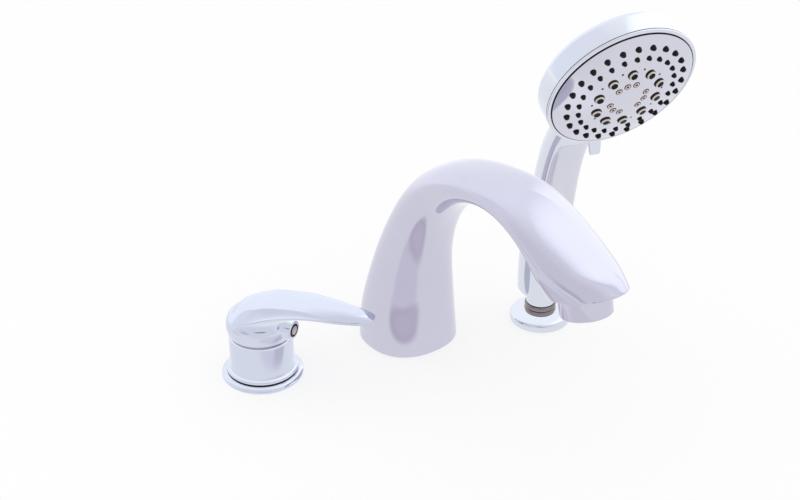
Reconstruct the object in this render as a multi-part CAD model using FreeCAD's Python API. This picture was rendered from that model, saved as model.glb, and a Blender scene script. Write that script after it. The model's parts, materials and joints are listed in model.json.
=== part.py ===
import FreeCAD, Part
import math
import os

# Three-hole bath mixer set that stands on the rim of a bath, in millimetres, +Z up.
# The rim's top face is z = 0 and the origin is the centre of the spout's foot on it.
# Three stations share the rim: a single-lever mixer valve, a swan-neck spout and a deck
# holder with its hand shower. Each station is modelled about its own axis, with its own
# forward direction along +X, and is then turned and moved to its place on the rim.
# Below the rim, a threaded shank, two washers and a backnut clamp each station.

V = FreeCAD.Vector

# Places of the stations on the rim, and the plan direction that each one faces
MIXER_AT = (-101.3, -49.0)
MIXER_HEADING = -15.0
SPOUT_AT = (0.0, 0.0)
SPOUT_HEADING = -54.0
SHOWER_AT = (96.7, 18.9)
SHOWER_HEADING = -67.2

# Clearances between pieces
THREAD_GAP = 0.05
FIT_GAP = 0.15
RUN_GAP = 0.05
TURN_GAP = 0.4

# How far a cutter runs past the faces that it opens, and a size wider than any station
PAST = 1.0
WIDE = 80.0

# Rim of the bath and what clamps to it
RIM_THICKNESS = 18.0
RUBBER_WASHER = 3.0
STEEL_WASHER = 1.5
BACKNUT_HEIGHT = 9.0
WASHER_MARGIN = 9.0
BACKNUT_MARGIN = 6.0
SEAL_SECTION = 2.4
SEAL_SQUEEZE = 0.2
RELIEF_DEPTH = 0.8
RELIEF_WIDTH = 2.5

# Mixer valve body and flange
MIXER_BODY_RADIUS = 22.2
MIXER_BODY_TOP = 31.5
MIXER_BODY_SEAT = 4.0
MIXER_FLOOR_TOP = 9.0
MIXER_FLOOR_BOTTOM = 1.0
MIXER_NECK_RADIUS = 19.8
MIXER_NECK_TOP = 34.5
MIXER_SPIGOT_RADIUS = 16.5
MIXER_SPIGOT_DEPTH = 8.0
FLANGE_RADIUS = 28.3
FLANGE_RIM = 2.0
FLANGE_BEAD_RADIUS = 25.2
FLANGE_BEAD_TOP = 9.0
MIXER_SHANK_RADIUS = 14.0
MIXER_SHANK_BORE = 11.0
MIXER_SHANK_TAIL = 22.0
HOSE_PORT_RADIUS = 4.2
HOSE_PORT_PITCH = 5.6
PORT_COUNT = 3

# Cartridge of the mixer valve
CARTRIDGE_RADIUS = 17.4
CARTRIDGE_WALL = 2.2
CARTRIDGE_BASE = 3.0
CARTRIDGE_PORT_RADIUS = 2.8
CARTRIDGE_PORT_PITCH = 7.2
PORT_SEAL_RADIUS = 3.9
PORT_SEAL_DEPTH = 1.2
DISC_THICKNESS = 3.0
DISC_RADIUS = 13.0
MOVING_DISC_RADIUS = 10.4
DISC_FILM = 0.02
MIXING_POCKET_RADIUS = 6.2
MIXING_POCKET_DEPTH = 1.6
CARRIER_THICKNESS = 2.6
CARRIER_SLOT_GAP = 0.3
PIVOT_HEIGHT = 25.0
GUIDE_RADIUS = 12.3
GUIDE_NECK_RADIUS = 10.6
GUIDE_TOP = 33.0
GUIDE_SHOULDER_TOP = 27.0
SPINDLE_SIZE = 6.4
SPINDLE_BALL_DROP = 4.5
SPINDLE_BALL_RADIUS = 2.2
SPINDLE_STEP = 36.0
SPINDLE_TOP = 53.0
PIVOT_PIN_RADIUS = 1.5
HOUSING_TOP = 30.0
CARTRIDGE_NUT_HEIGHT = 5.0
CARTRIDGE_NUT_BORE = 13.4
DOME_WALL = 1.0
DOME_OPENING = 16.0
LIFT_ANGLE = 25.0

# Lever
LEVER_SKIRT_BOTTOM = 34.6
LEVER_SKIRT_BORE = 21.4
LEVER_SKIRT_RADIUS = 22.6
LEVER_BULGE_RADIUS = 23.6
LEVER_BULGE_HEIGHT = 42.0
LEVER_TOP = 57.0
LEVER_BOSS_RADIUS = 6.4
LEVER_BOSS_BOTTOM = 42.8
SCREW_BOSS_RADIUS = 4.0
SCREW_BOSS_LENGTH = 10.0
SCREW_TILT = 14.0
SCREW_HEADING = -13.0
CAP_REACH = 27.2
CAP_HEIGHT = 42.2
GRUB_RADIUS = 2.0
GRUB_LENGTH = 6.0
GRUB_KEY_RADIUS = 1.0
CAP_RADIUS = 4.8
CAP_THICKNESS = 2.0
CAP_STEM_RADIUS = 2.6
CAP_STEM_LENGTH = 1.5
CAP_PAD_ROOT = 12.0
CAP_PAD_RADIUS = 6.4
# Lever arm: distance from the valve's axis, half width, underside height, top height
LEVER_ARM = [
    (-20.0, 7.0, 39.5, 43.5),
    (-13.0, 14.0, 40.5, 50.0),
    (0.0, 20.0, 43.5, 57.2),
    (20.0, 20.0, 50.6, 62.0),
    (40.0, 17.0, 54.3, 65.2),
    (58.0, 13.5, 54.2, 65.2),
    (72.0, 10.0, 54.4, 63.4),
    (81.0, 5.5, 56.0, 60.6),
]
LEVER_ARM_SQUARENESS = 2.2

# Spout: each row is a section through the swan neck in its own plane.
# Top (outer) point forward and up, under (inner) point forward and up, half width
SPOUT_SECTIONS = [
    ((-32.6, 0.0), (32.6, 0.0), 34.3),
    ((-30.4, 26.0), (30.4, 22.5), 32.8),
    ((-23.7, 52.6), (29.9, 44.0), 29.8),
    ((-14.8, 78.8), (30.4, 66.8), 26.4),
    ((-2.6, 105.1), (34.6, 88.9), 23.7),
    ((13.6, 130.1), (43.0, 109.3), 22.3),
    ((34.8, 150.6), (55.6, 126.4), 21.6),
    ((59.9, 164.1), (71.5, 139.7), 21.6),
    ((86.1, 170.2), (90.7, 148.2), 22.0),
    ((112.0, 171.2), (111.0, 151.8), 23.4),
    ((138.0, 165.3), (132.0, 148.1), 24.8),
    ((163.0, 156.0), (147.5, 137.0), 25.6),
    ((183.5, 148.0), (153.5, 127.0), 25.4),
    ((197.5, 142.0), (155.8, 121.3), 23.8),
    ((207.0, 136.2), (156.3, 117.2), 21.6),
]
SPOUT_WALL = 3.0
SPOUT_SQUARENESS = 2.3
SPOUT_FLOOR = 10.0
SPOUT_SOCKET_DEPTH = 8.0
SPOUT_SHANK_RADIUS = 10.45
SPOUT_SHANK_BORE = 7.5
SPOUT_SHANK_TAIL = 24.0
SPOUT_SEAL_RADIUS = 27.0

# Outlet of the spout: a chrome ring with the aerator in it
OUTLET_CENTRE = (178.5, 124.8)
OUTLET_TILT = 14.0
OUTLET_RADIUS = 16.7
OUTLET_DROP = 12.6
OUTLET_RISE = 5.0
OUTLET_BORE = 13.2
THROAT_RISE = 8.0
AERATOR_LIP = 1.6
AERATOR_LENGTH = 11.0
AERATOR_CELL = 1.5
AERATOR_PITCH = 4.1
AERATOR_SEAL = 1.6

# Deck holder of the hand shower
HOLDER_FLANGE_RADIUS = 21.8
HOLDER_FLANGE_TOP = 6.8
HOLDER_FLANGE_ROUND = 3.2
HOLDER_SHANK_RADIUS = 12.0
HOLDER_SHANK_BORE = 9.6
HOLDER_SHANK_TAIL = 20.0
HOLDER_NECK_RADIUS = 11.3
HOLDER_NECK_WAIST = 10.1
HOLDER_NECK_TOP = 14.5
HOLDER_NECK_BORE = 8.6
HOLDER_NECK_BEADS = 2
LINER_WALL = 1.2

# Connector on the end of the shower's hose
CONNECTOR_RADIUS = 10.3
CONNECTOR_TOP = 36.0
CONNECTOR_BARREL = 8.0
CONNECTOR_BARREL_END = -12.0
HOSE_TAIL_RADIUS = 6.0
HOSE_TAIL_END = -30.0
HOSE_BORE = 4.0
NIPPLE_RADIUS = 7.6
NIPPLE_BOTTOM = 28.0
NIPPLE_BORE = 5.0
HOSE_WASHER = 1.5

# Hand shower. Each row crosses the handle's centre line: two shares of the way from its foot
# to the head's centre, forward and up, then half width and half depth in millimetres
HANDLE_FOOT = 25.0
HANDLE_ROWS = [
    (0.0, 0.0, 16.6, 16.6),
    (-0.010, 0.066, 16.4, 16.2),
    (0.0, 0.178, 16.0, 15.4),
    (0.070, 0.336, 15.2, 14.4),
    (0.152, 0.519, 14.8, 13.8),
    (0.266, 0.667, 14.8, 12.8),
    (0.409, 0.764, 15.6, 11.0),
    (0.573, 0.835, 16.3, 9.0),
    (0.726, 0.899, 15.5, 5.5),
]
HANDLE_WALL = 2.4
HANDLE_SQUARENESS = 2.3
HANDLE_SHOULDER = 3.0
HANDLE_SHOULDER_BORE = 8.6
TUBE_RADIUS = 5.2
TUBE_WALL = 1.4
TUBE_INLET = 3.4
TUBE_START = (-0.007, 0.107)
TUBE_END = (0.662, 0.872)
TUBE_END_RADIUS = 3.4
PANEL_DEPTH = 1.2
PANEL_HALF_WIDTH = 11.5
PANEL_CORNER = 8.0
PANEL_LOW = 0.188
PANEL_HIGH = 0.718

# Shower head, about its own axis: the face looks along +Z of the head and z = 0 is its rim
HEAD_FORWARD = 88.1
HEAD_HEIGHT = 221.4
HEAD_DROOP = 24.1
HEAD_RADIUS = 50.0
HEAD_SIDE = 16.0
HEAD_BACK_RADIUS = HEAD_RADIUS - 3.0
HEAD_BACK_HEIGHT = 19.0
HEAD_DEPTH = 25.5
HEAD_BACK_SAG = 0.24
HEAD_WALL = 2.4
LIP_WALL = 1.0
RING_STRIP = 2.2
RING_FRONT = -0.3
RING_FLANGE = 1.3
RING_BACK = -5.0
RING_WEB = 1.6
RING_BORE = HEAD_RADIUS - RING_STRIP
PLATE_RADIUS = RING_BORE - 0.5
PLATE_WALL = 1.6
PLATE_EDGE = 0.8
PLATE_DOME = 8.2
FACE_SPAN = 12.0
MAT_WALL = 1.6
DISTRIBUTOR_BACK = -9.5
DISTRIBUTOR_FRONT = -4.4
CORE_CHAMBER_RADIUS = HEAD_RADIUS * 0.7
CORE_BACK = -18.0
CORE_FRONT = -12.6
DIVERTER_RADIUS = 24.0
DIVERTER_GAP = 0.1
DIVERTER_PORT = 2.2
DIVERTER_PORT_COUNT = 3
FACE_SCREW_RADIUS = 2.5
FACE_SCREW_HEAD = 4.6
DETENT_RADIUS = 1.5
DETENT_PITCH = 31.0

# Tab of the selector ring: it leans forward of the ring and swings through a slot in the shell
TAB_ANGLE = -93.2
TAB_SWING = 60.0
TAB_SPARE_ANGLE = 3.0
TAB_WIDTH = 9.7
TAB_TIP_WIDTH = 7.4
TAB_LENGTH = 13.2
TAB_THICKNESS = 2.6
TAB_TILT = 36.7
TAB_ROOT_HEIGHT = -4.2
TAB_ROUND = 1.0

# Nozzles of the spray face. Rings of nubs: count, distance from the axis, radius, height
# above the plate, angle of the first
RAIN_RINGS = [
    (24, 38.8, 1.7, 1.3, 4.2),
    (24, 31.9, 1.4, 1.2, 4.4),
]
MASSAGE_COUNT = 10
MASSAGE_PITCH = 21.0
MASSAGE_START = 25.6
MASSAGE_RADIUS = 3.4
MASSAGE_BORE = 1.3
MASSAGE_RISE = 0.9
PIN_HOLE_COUNT = 10
PIN_HOLE_PITCH = 23.8
PIN_HOLE_START = 6.1
PIN_HOLE_RADIUS = 0.8
MIST_GROUPS = 3
MIST_PITCH = 11.9
MIST_START = 108.7
MIST_SPACING = 29.0
MIST_HALF_LENGTH = 1.9
MIST_HALF_WIDTH = 1.1
MIST_RISE = 0.5


# Basic solids about the Z axis


def disc(radius, low, high, at=(0.0, 0.0)):
    return Part.makeCylinder(radius, high - low, V(at[0], at[1], low))


def tube(outer, bore, low, high, at=(0.0, 0.0)):
    return disc(outer, low, high, at).cut(disc(bore, low - PAST, high + PAST, at))


def polygon_wire(points):
    corners = [V(*p) for p in points]
    return Part.makePolygon(corners + [corners[0]])


def turned(profile):
    """Solid turned about Z from a closed profile of (radius, height) corners."""
    face = Part.Face(polygon_wire([(r, 0.0, z) for r, z in profile]))
    return face.revolve(V(0, 0, 0), V(0, 0, 1), 360)


def hexagon(across_flats, low, high):
    corner = across_flats / math.sqrt(3.0)
    points = [
        (corner * math.cos(math.radians(a)), corner * math.sin(math.radians(a)), low)
        for a in range(0, 360, 60)
    ]
    return Part.Face(polygon_wire(points)).extrude(V(0, 0, high - low))


def ring_seal(radius, section, height):
    return Part.makeTorus(radius, section / 2.0, V(0, 0, height))


def around(count, pitch, start=0.0):
    """Centres of a ring of equal holes."""
    step = 2.0 * math.pi / count
    first = math.radians(start)
    return [(pitch * math.cos(first + i * step), pitch * math.sin(first + i * step)) for i in range(count)]


def round_edges(solid, radius, wanted):
    edges = [e for e in solid.Edges if wanted(e)]
    return solid.makeFillet(radius, edges)


def rim_edge(radius, height):
    """Test for the circular edge of one radius at one height."""

    def matches(edge):
        curve = edge.Curve
        if not isinstance(curve, Part.Circle):
            return False
        return abs(curve.Radius - radius) < 1e-6 and abs(curve.Center.z - height) < 1e-6

    return matches


# Swept shapes with rounded-square sections


def section_wire(centre, across, up, half_across, half_up, squareness, count=20):
    """Closed smooth wire: a superellipse with two half sizes along two directions."""
    points = []
    for i in range(count):
        a = 2.0 * math.pi * i / count
        c, s = math.cos(a), math.sin(a)
        u = math.copysign(abs(c) ** (2.0 / squareness), c) * half_across
        v = math.copysign(abs(s) ** (2.0 / squareness), s) * half_up
        points.append(centre + across * u + up * v)
    curve = Part.BSplineCurve()
    curve.interpolate(points, PeriodicFlag=True)
    return Part.Wire([curve.toShape()])


def loft(wires):
    return Part.makeLoft(wires, True, False)


SIDEWAYS = V(0, 1, 0)


def chord_sections(rows, wall, squareness):
    """Wires of sections given by their top and under points in the XZ plane."""
    wires = []
    for top, under, half_width in rows:
        top_point = V(top[0], 0, top[1])
        under_point = V(under[0], 0, under[1])
        chord = top_point - under_point
        half = chord.Length / 2.0
        chord.normalize()
        centre = (top_point + under_point) * 0.5
        wires.append(section_wire(centre, SIDEWAYS, chord, half_width - wall, half - wall, squareness))
    return wires


def path_normal(rows, i):
    """Unit normal, in the XZ plane, of a centre line at row i, pointing forward."""
    before = rows[max(i - 1, 0)]
    after = rows[min(i + 1, len(rows) - 1)]
    along = V(after[0] - before[0], 0, after[1] - before[1])
    if i == 0:
        along = V(0, 0, 1)
    along.normalize()
    return V(along.z, 0, -along.x)


def path_sections(rows, wall, squareness):
    """Wires across a centre line of (forward, up, half width, half depth) rows."""
    wires = []
    for i, (forward, up, half_width, half_depth) in enumerate(rows):
        centre = V(forward, 0, up)
        wires.append(
            section_wire(
                centre,
                SIDEWAYS,
                path_normal(rows, i),
                half_width - wall,
                half_depth - wall,
                squareness,
            )
        )
    return wires


# What clamps a station under the rim


def shank(radius, bore, top, tail):
    """Threaded tube with a relief groove that parts the backnut's thread from the tail."""
    nut_bottom = -RIM_THICKNESS - RUBBER_WASHER - STEEL_WASHER - BACKNUT_HEIGHT
    solid = tube(radius, bore, nut_bottom - tail, top)
    groove_top = nut_bottom - 1.0
    groove = tube(radius + PAST, radius - RELIEF_DEPTH, groove_top - RELIEF_WIDTH, groove_top)
    return solid.cut(groove)


def clamp_pieces(radius):
    """Rubber washer, steel washer and backnut around a shank of this radius."""
    rubber_low = -RIM_THICKNESS - RUBBER_WASHER
    steel_low = rubber_low - STEEL_WASHER
    nut_low = steel_low - BACKNUT_HEIGHT
    washer_radius = radius + WASHER_MARGIN
    rubber = tube(washer_radius, radius + FIT_GAP, rubber_low, -RIM_THICKNESS)
    steel = tube(washer_radius, radius + FIT_GAP, steel_low, rubber_low)
    nut = hexagon(2.0 * (radius + BACKNUT_MARGIN), nut_low, steel_low)
    nut = nut.cut(disc(radius + THREAD_GAP, nut_low - PAST, steel_low + PAST))
    return rubber, steel, nut


def seal_groove(radius):
    half = SEAL_SECTION / 2.0
    return tube(radius + half + FIT_GAP, radius - half - FIT_GAP, -PAST, SEAL_SECTION)


def deck_seal(radius):
    """Ring seal in a foot's groove, pressed flat where it meets the rim."""
    half = SEAL_SECTION / 2.0
    seal = ring_seal(radius, SEAL_SECTION, half - SEAL_SQUEEZE)
    return seal.cut(disc(radius + SEAL_SECTION, -SEAL_SECTION, 0.0))


# Mixer valve


def mixer_flange():
    bore = MIXER_SPIGOT_RADIUS + FIT_GAP
    inner = MIXER_BODY_RADIUS + FIT_GAP
    step = 1.2
    profile = [
        (bore, 0.0),
        (FLANGE_RADIUS, 0.0),
        (FLANGE_RADIUS, FLANGE_RIM * 0.6),
        (FLANGE_RADIUS - step * 0.5, FLANGE_RIM),
        (FLANGE_BEAD_RADIUS + 0.6, FLANGE_RIM + 0.8),
        (FLANGE_BEAD_RADIUS, FLANGE_RIM + 2.0),
        (FLANGE_BEAD_RADIUS, FLANGE_BEAD_TOP - 2.4),
        (FLANGE_BEAD_RADIUS - step * 0.5, FLANGE_BEAD_TOP - 1.8),
        (FLANGE_BEAD_RADIUS - step, FLANGE_BEAD_TOP - 0.4),
        (FLANGE_BEAD_RADIUS - step * 1.5, FLANGE_BEAD_TOP),
        (inner, FLANGE_BEAD_TOP),
        (inner, MIXER_BODY_SEAT),
        (bore, MIXER_BODY_SEAT),
    ]
    return turned(profile).cut(seal_groove(mixer_seal_radius()))


def mixer_seal_radius():
    return (MIXER_SPIGOT_RADIUS + FLANGE_RADIUS) / 2.0


def cartridge_seat():
    return MIXER_FLOOR_TOP


def mixer_body():
    outer = turned(
        [
            (0.0, -MIXER_SPIGOT_DEPTH),
            (MIXER_SPIGOT_RADIUS, -MIXER_SPIGOT_DEPTH),
            (MIXER_SPIGOT_RADIUS, MIXER_BODY_SEAT),
            (MIXER_BODY_RADIUS, MIXER_BODY_SEAT),
            (MIXER_BODY_RADIUS, MIXER_BODY_TOP),
            (MIXER_NECK_RADIUS, MIXER_BODY_TOP),
            (MIXER_NECK_RADIUS, MIXER_NECK_TOP),
            (0.0, MIXER_NECK_TOP),
        ]
    )
    cavity = disc(CARTRIDGE_RADIUS + FIT_GAP, MIXER_FLOOR_TOP, MIXER_NECK_TOP + PAST)
    socket = disc(MIXER_SHANK_RADIUS + THREAD_GAP, -MIXER_SPIGOT_DEPTH - PAST, MIXER_FLOOR_BOTTOM)
    body = outer.cut(cavity).cut(socket)
    for at in around(PORT_COUNT, HOSE_PORT_PITCH):
        body = body.cut(disc(HOSE_PORT_RADIUS, MIXER_FLOOR_BOTTOM - PAST, MIXER_FLOOR_TOP + PAST, at))
    return body


def mixer_shank():
    return shank(MIXER_SHANK_RADIUS, MIXER_SHANK_BORE, MIXER_FLOOR_BOTTOM, MIXER_SHANK_TAIL)


def base_top():
    return cartridge_seat() + CARTRIDGE_BASE


def fixed_disc_top():
    return base_top() + DISC_THICKNESS


def moving_disc_bottom():
    return fixed_disc_top() + DISC_FILM


def moving_disc_top():
    return moving_disc_bottom() + DISC_THICKNESS


def carrier_top():
    return moving_disc_top() + CARRIER_THICKNESS


def cartridge_base():
    """Plate under the discs, with a counterbored port for each waterway."""
    low = cartridge_seat()
    base = disc(CARTRIDGE_RADIUS - CARTRIDGE_WALL - FIT_GAP, low, base_top())
    for at in around(PORT_COUNT, CARTRIDGE_PORT_PITCH):
        base = base.cut(disc(CARTRIDGE_PORT_RADIUS, low - PAST, base_top() + PAST, at))
        base = base.cut(disc(PORT_SEAL_RADIUS + FIT_GAP, low - PAST, low + PORT_SEAL_DEPTH, at))
    return base


def port_seals():
    low = cartridge_seat()
    seals = [
        tube(PORT_SEAL_RADIUS, CARTRIDGE_PORT_RADIUS, low, low + PORT_SEAL_DEPTH, at)
        for at in around(PORT_COUNT, CARTRIDGE_PORT_PITCH)
    ]
    return Part.makeCompound(seals)


def fixed_ceramic_disc():
    plate = disc(DISC_RADIUS, base_top(), fixed_disc_top())
    for at in around(PORT_COUNT, CARTRIDGE_PORT_PITCH):
        plate = plate.cut(disc(CARTRIDGE_PORT_RADIUS, base_top() - PAST, fixed_disc_top() + PAST, at))
    return plate


def moving_ceramic_disc():
    low = moving_disc_bottom()
    plate = disc(MOVING_DISC_RADIUS, low, moving_disc_top())
    return plate.cut(disc(MIXING_POCKET_RADIUS, low - PAST, low + MIXING_POCKET_DEPTH))


def disc_carrier():
    """Plate that the spindle's ball end pushes along with the moving disc."""
    low = moving_disc_top()
    plate = disc(MOVING_DISC_RADIUS, low, carrier_top())
    hole = disc(SPINDLE_BALL_RADIUS + CARRIER_SLOT_GAP, low - PAST, carrier_top() + PAST)
    return plate.cut(hole)


def spindle_slot(width, low, high):
    """Space that the tilting spindle sweeps, as a wedge with its tip at the pivot."""
    half = width / 2.0
    tan_lift = math.tan(math.radians(LIFT_ANGLE + 3.0))
    reach_high = half + (high - PIVOT_HEIGHT) * tan_lift + FIT_GAP
    reach_low = half + (PIVOT_HEIGHT - low) * tan_lift + FIT_GAP
    reach_mid = half + 1.2
    outline = [
        (-reach_low, low),
        (reach_low, low),
        (reach_mid, PIVOT_HEIGHT),
        (reach_high, high),
        (-reach_high, high),
        (-reach_mid, PIVOT_HEIGHT),
    ]
    face = Part.Face(polygon_wire([(x, -half - FIT_GAP, z) for x, z in outline]))
    return face.extrude(V(0, width + 2.0 * FIT_GAP, 0))


def cartridge_guide():
    """Turning guide that carries the spindle's pivot pin and turns with the lever."""
    low = carrier_top() + FIT_GAP
    guide = turned(
        [
            (0.0, low),
            (GUIDE_RADIUS, low),
            (GUIDE_RADIUS, GUIDE_SHOULDER_TOP),
            (GUIDE_NECK_RADIUS, GUIDE_SHOULDER_TOP),
            (GUIDE_NECK_RADIUS, GUIDE_TOP),
            (0.0, GUIDE_TOP),
        ]
    )
    guide = guide.cut(spindle_slot(SPINDLE_SIZE, low - PAST, GUIDE_TOP + PAST))
    pin_hole = Part.makeCylinder(
        PIVOT_PIN_RADIUS, 2.0 * GUIDE_RADIUS, V(0, -GUIDE_RADIUS, PIVOT_HEIGHT), SIDEWAYS
    )
    return guide.cut(pin_hole)


def spindle_pin():
    half = GUIDE_RADIUS - 1.0
    return Part.makeCylinder(PIVOT_PIN_RADIUS - 0.005, 2.0 * half, V(0, -half, PIVOT_HEIGHT), SIDEWAYS)


def spindle():
    """Square spindle on its pin, with a ball end in the carrier and a head turned to the screw."""
    half = SPINDLE_SIZE / 2.0
    low = PIVOT_HEIGHT - half
    ball_height = PIVOT_HEIGHT - SPINDLE_BALL_DROP
    bar = Part.makeBox(SPINDLE_SIZE, SPINDLE_SIZE, SPINDLE_STEP - low, V(-half, -half, low))
    head_height = SPINDLE_TOP - SPINDLE_STEP + FIT_GAP
    head_low = V(-half, -half, SPINDLE_STEP - FIT_GAP)
    head = at_screw_heading(Part.makeBox(SPINDLE_SIZE, SPINDLE_SIZE, head_height, head_low))
    ball = Part.makeSphere(SPINDLE_BALL_RADIUS, V(0, 0, ball_height))
    tail = disc(SPINDLE_BALL_RADIUS * 0.8, ball_height, PIVOT_HEIGHT).fuse(ball)
    hole = Part.makeCylinder(
        PIVOT_PIN_RADIUS + RUN_GAP, 2.0 * SPINDLE_SIZE, V(0, -SPINDLE_SIZE, PIVOT_HEIGHT), SIDEWAYS
    )
    return bar.fuse(head).fuse(tail).cut(hole)


def cartridge_housing():
    """Cup over the discs and the guide, held down by the cartridge nut."""
    low = cartridge_seat()
    chamber = CARTRIDGE_RADIUS - CARTRIDGE_WALL
    guide_bore = GUIDE_RADIUS + RUN_GAP
    neck_bore = GUIDE_NECK_RADIUS + RUN_GAP
    ledge = carrier_top() + FIT_GAP
    shoulder = GUIDE_SHOULDER_TOP + RUN_GAP
    profile = [
        (chamber, low),
        (CARTRIDGE_RADIUS, low),
        (CARTRIDGE_RADIUS, HOUSING_TOP),
        (neck_bore, HOUSING_TOP),
        (neck_bore, shoulder),
        (guide_bore, shoulder),
        (guide_bore, ledge + 1.0),
        (chamber, ledge + 1.0),
    ]
    return turned(profile)


def cartridge_nut():
    """Threaded ring above the housing, inside the body's neck, with a hexagon on top."""
    low = HOUSING_TOP
    high = low + CARTRIDGE_NUT_HEIGHT
    ring = disc(CARTRIDGE_RADIUS, low, high)
    return ring.cut(disc(CARTRIDGE_NUT_BORE, low - PAST, high + PAST))


def dome_radius():
    """Largest dome about the pivot that the lever's skirt clears as it tilts."""
    return math.hypot(LEVER_SKIRT_BORE, LEVER_SKIRT_BOTTOM - PIVOT_HEIGHT) - TURN_GAP


def dome_ring():
    """Domed trim ring between the body and the lever, which hides the cartridge nut."""
    outer = Part.makeSphere(dome_radius(), V(0, 0, PIVOT_HEIGHT))
    inner = Part.makeSphere(dome_radius() - DOME_WALL, V(0, 0, PIVOT_HEIGHT))
    collar_radius = LEVER_SKIRT_BORE - TURN_GAP
    collar = disc(collar_radius, MIXER_BODY_TOP, MIXER_BODY_TOP + 3.0)
    shell = outer.common(disc(collar_radius, MIXER_BODY_TOP, PIVOT_HEIGHT + dome_radius())).fuse(
        collar.common(outer)
    )
    neck = disc(MIXER_NECK_RADIUS + FIT_GAP, MIXER_BODY_TOP - PAST, MIXER_NECK_TOP + FIT_GAP)
    hollow = inner.common(disc(MIXER_NECK_RADIUS + FIT_GAP, MIXER_BODY_TOP - PAST, WIDE))
    opening = disc(DOME_OPENING, MIXER_BODY_TOP - PAST, LEVER_TOP)
    return shell.cut(neck).cut(hollow).cut(opening)


def lever_hub():
    """Bowl-shaped hub that drops over the cartridge and slides outside the body's edge."""
    points = [
        (LEVER_SKIRT_RADIUS, LEVER_SKIRT_BOTTOM),
        (LEVER_SKIRT_RADIUS + 0.7 * (LEVER_BULGE_RADIUS - LEVER_SKIRT_RADIUS), LEVER_SKIRT_BOTTOM + 4.4),
        (LEVER_BULGE_RADIUS, LEVER_BULGE_HEIGHT),
        (LEVER_BULGE_RADIUS - 1.6, LEVER_BULGE_HEIGHT + 8.0),
        (LEVER_BULGE_RADIUS - 8.0, LEVER_TOP - 4.0),
        (0.0, LEVER_TOP),
    ]
    curve = Part.BSplineCurve()
    curve.interpolate([V(r, 0, z) for r, z in points])
    edges = [
        curve.toShape(),
        Part.makeLine(V(0, 0, LEVER_TOP), V(0, 0, LEVER_SKIRT_BOTTOM)),
        Part.makeLine(V(0, 0, LEVER_SKIRT_BOTTOM), V(LEVER_SKIRT_RADIUS, 0, LEVER_SKIRT_BOTTOM)),
    ]
    return Part.Face(Part.Wire(edges)).revolve(V(0, 0, 0), V(0, 0, 1), 360)


def lever_arm():
    wires = []
    squareness = LEVER_ARM_SQUARENESS
    for reach, half_width, under, top in LEVER_ARM:
        centre = V(reach, 0, (under + top) / 2.0)
        wires.append(section_wire(centre, SIDEWAYS, V(0, 0, 1), half_width, (top - under) / 2.0, squareness))
    return loft(wires)


def screw_axis():
    """Point on the screw's axis at the cap, and the direction from it in to the spindle."""
    tilt = math.radians(SCREW_TILT)
    return V(CAP_REACH, 0, CAP_HEIGHT), V(-math.cos(tilt), 0, math.sin(tilt))


def screw_start():
    """Distance along the screw's axis, from the cap, to the spindle's flat."""
    return (CAP_REACH - SPINDLE_SIZE / 2.0) / math.cos(math.radians(SCREW_TILT))


def along_screw(radius, start, end):
    """Cylinder on the screw's axis between two distances from the cap."""
    point, inward = screw_axis()
    return Part.makeCylinder(radius, end - start, point + inward * start, inward)


def at_screw_heading(shape):
    """Turn a shape made along +X to the plan direction of the lever's grub screw."""
    placed = shape.copy()
    placed.rotate(V(0, 0, 0), V(0, 0, 1), SCREW_HEADING)
    return placed


def toward_cap(radius, start, end):
    """Level cylinder at the cap's height between two distances from the valve's axis."""
    return Part.makeCylinder(radius, end - start, V(start, 0, CAP_HEIGHT), V(1, 0, 0))


def cap_pad():
    """Raised pad on the hub's front that the index cap is pressed into."""
    cone = Part.makeCone(CAP_PAD_ROOT, CAP_PAD_RADIUS, CAP_REACH, V(0, 0, CAP_HEIGHT), V(1, 0, 0))
    return cone.common(disc(LEVER_BULGE_RADIUS + CAP_REACH, LEVER_SKIRT_BOTTOM, LEVER_TOP))


def lever_hollow():
    """Space under the hub that the dome and the top of the cartridge stand in."""
    ball_radius = dome_radius() + TURN_GAP
    above = Part.makeSphere(ball_radius, V(0, 0, PIVOT_HEIGHT))
    above = above.common(disc(LEVER_SKIRT_BORE, PIVOT_HEIGHT, LEVER_TOP))
    below = disc(LEVER_SKIRT_BORE, PIVOT_HEIGHT, LEVER_SKIRT_BOTTOM + FIT_GAP)
    boss = disc(LEVER_BOSS_RADIUS, LEVER_BOSS_BOTTOM, PIVOT_HEIGHT + ball_radius + PAST)
    screw_boss = along_screw(SCREW_BOSS_RADIUS, screw_start() - SCREW_BOSS_LENGTH, screw_start())
    return above.fuse(below).cut(at_screw_heading(boss.fuse(screw_boss)))


def lever_handle():
    """Hub and arm in one casting, with a boss that is clamped on the spindle."""
    solid = lever_hub().fuse(lever_arm()).fuse(at_screw_heading(cap_pad()))
    solid = solid.cut(lever_hollow())
    half = SPINDLE_SIZE / 2.0 + RUN_GAP
    socket_low = LEVER_BOSS_BOTTOM - SCREW_BOSS_RADIUS
    socket_height = SPINDLE_TOP + FIT_GAP - socket_low
    socket = Part.makeBox(2.0 * half, 2.0 * half, socket_height, V(-half, -half, socket_low))
    screw_hole = along_screw(GRUB_RADIUS + THREAD_GAP, 0.0, screw_start() + PAST)
    key_way = along_screw(CAP_STEM_RADIUS + FIT_GAP, 0.0, screw_start() - SCREW_BOSS_LENGTH)
    cap_seat = toward_cap(CAP_RADIUS + THREAD_GAP, CAP_REACH - CAP_THICKNESS, CAP_REACH + PAST)
    stem_start = CAP_REACH - CAP_THICKNESS - CAP_STEM_LENGTH
    stem_seat = toward_cap(CAP_STEM_RADIUS + THREAD_GAP, stem_start, CAP_REACH)
    cutters = [socket, screw_hole, key_way, cap_seat, stem_seat]
    return solid.cut([at_screw_heading(cutter) for cutter in cutters])


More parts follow.
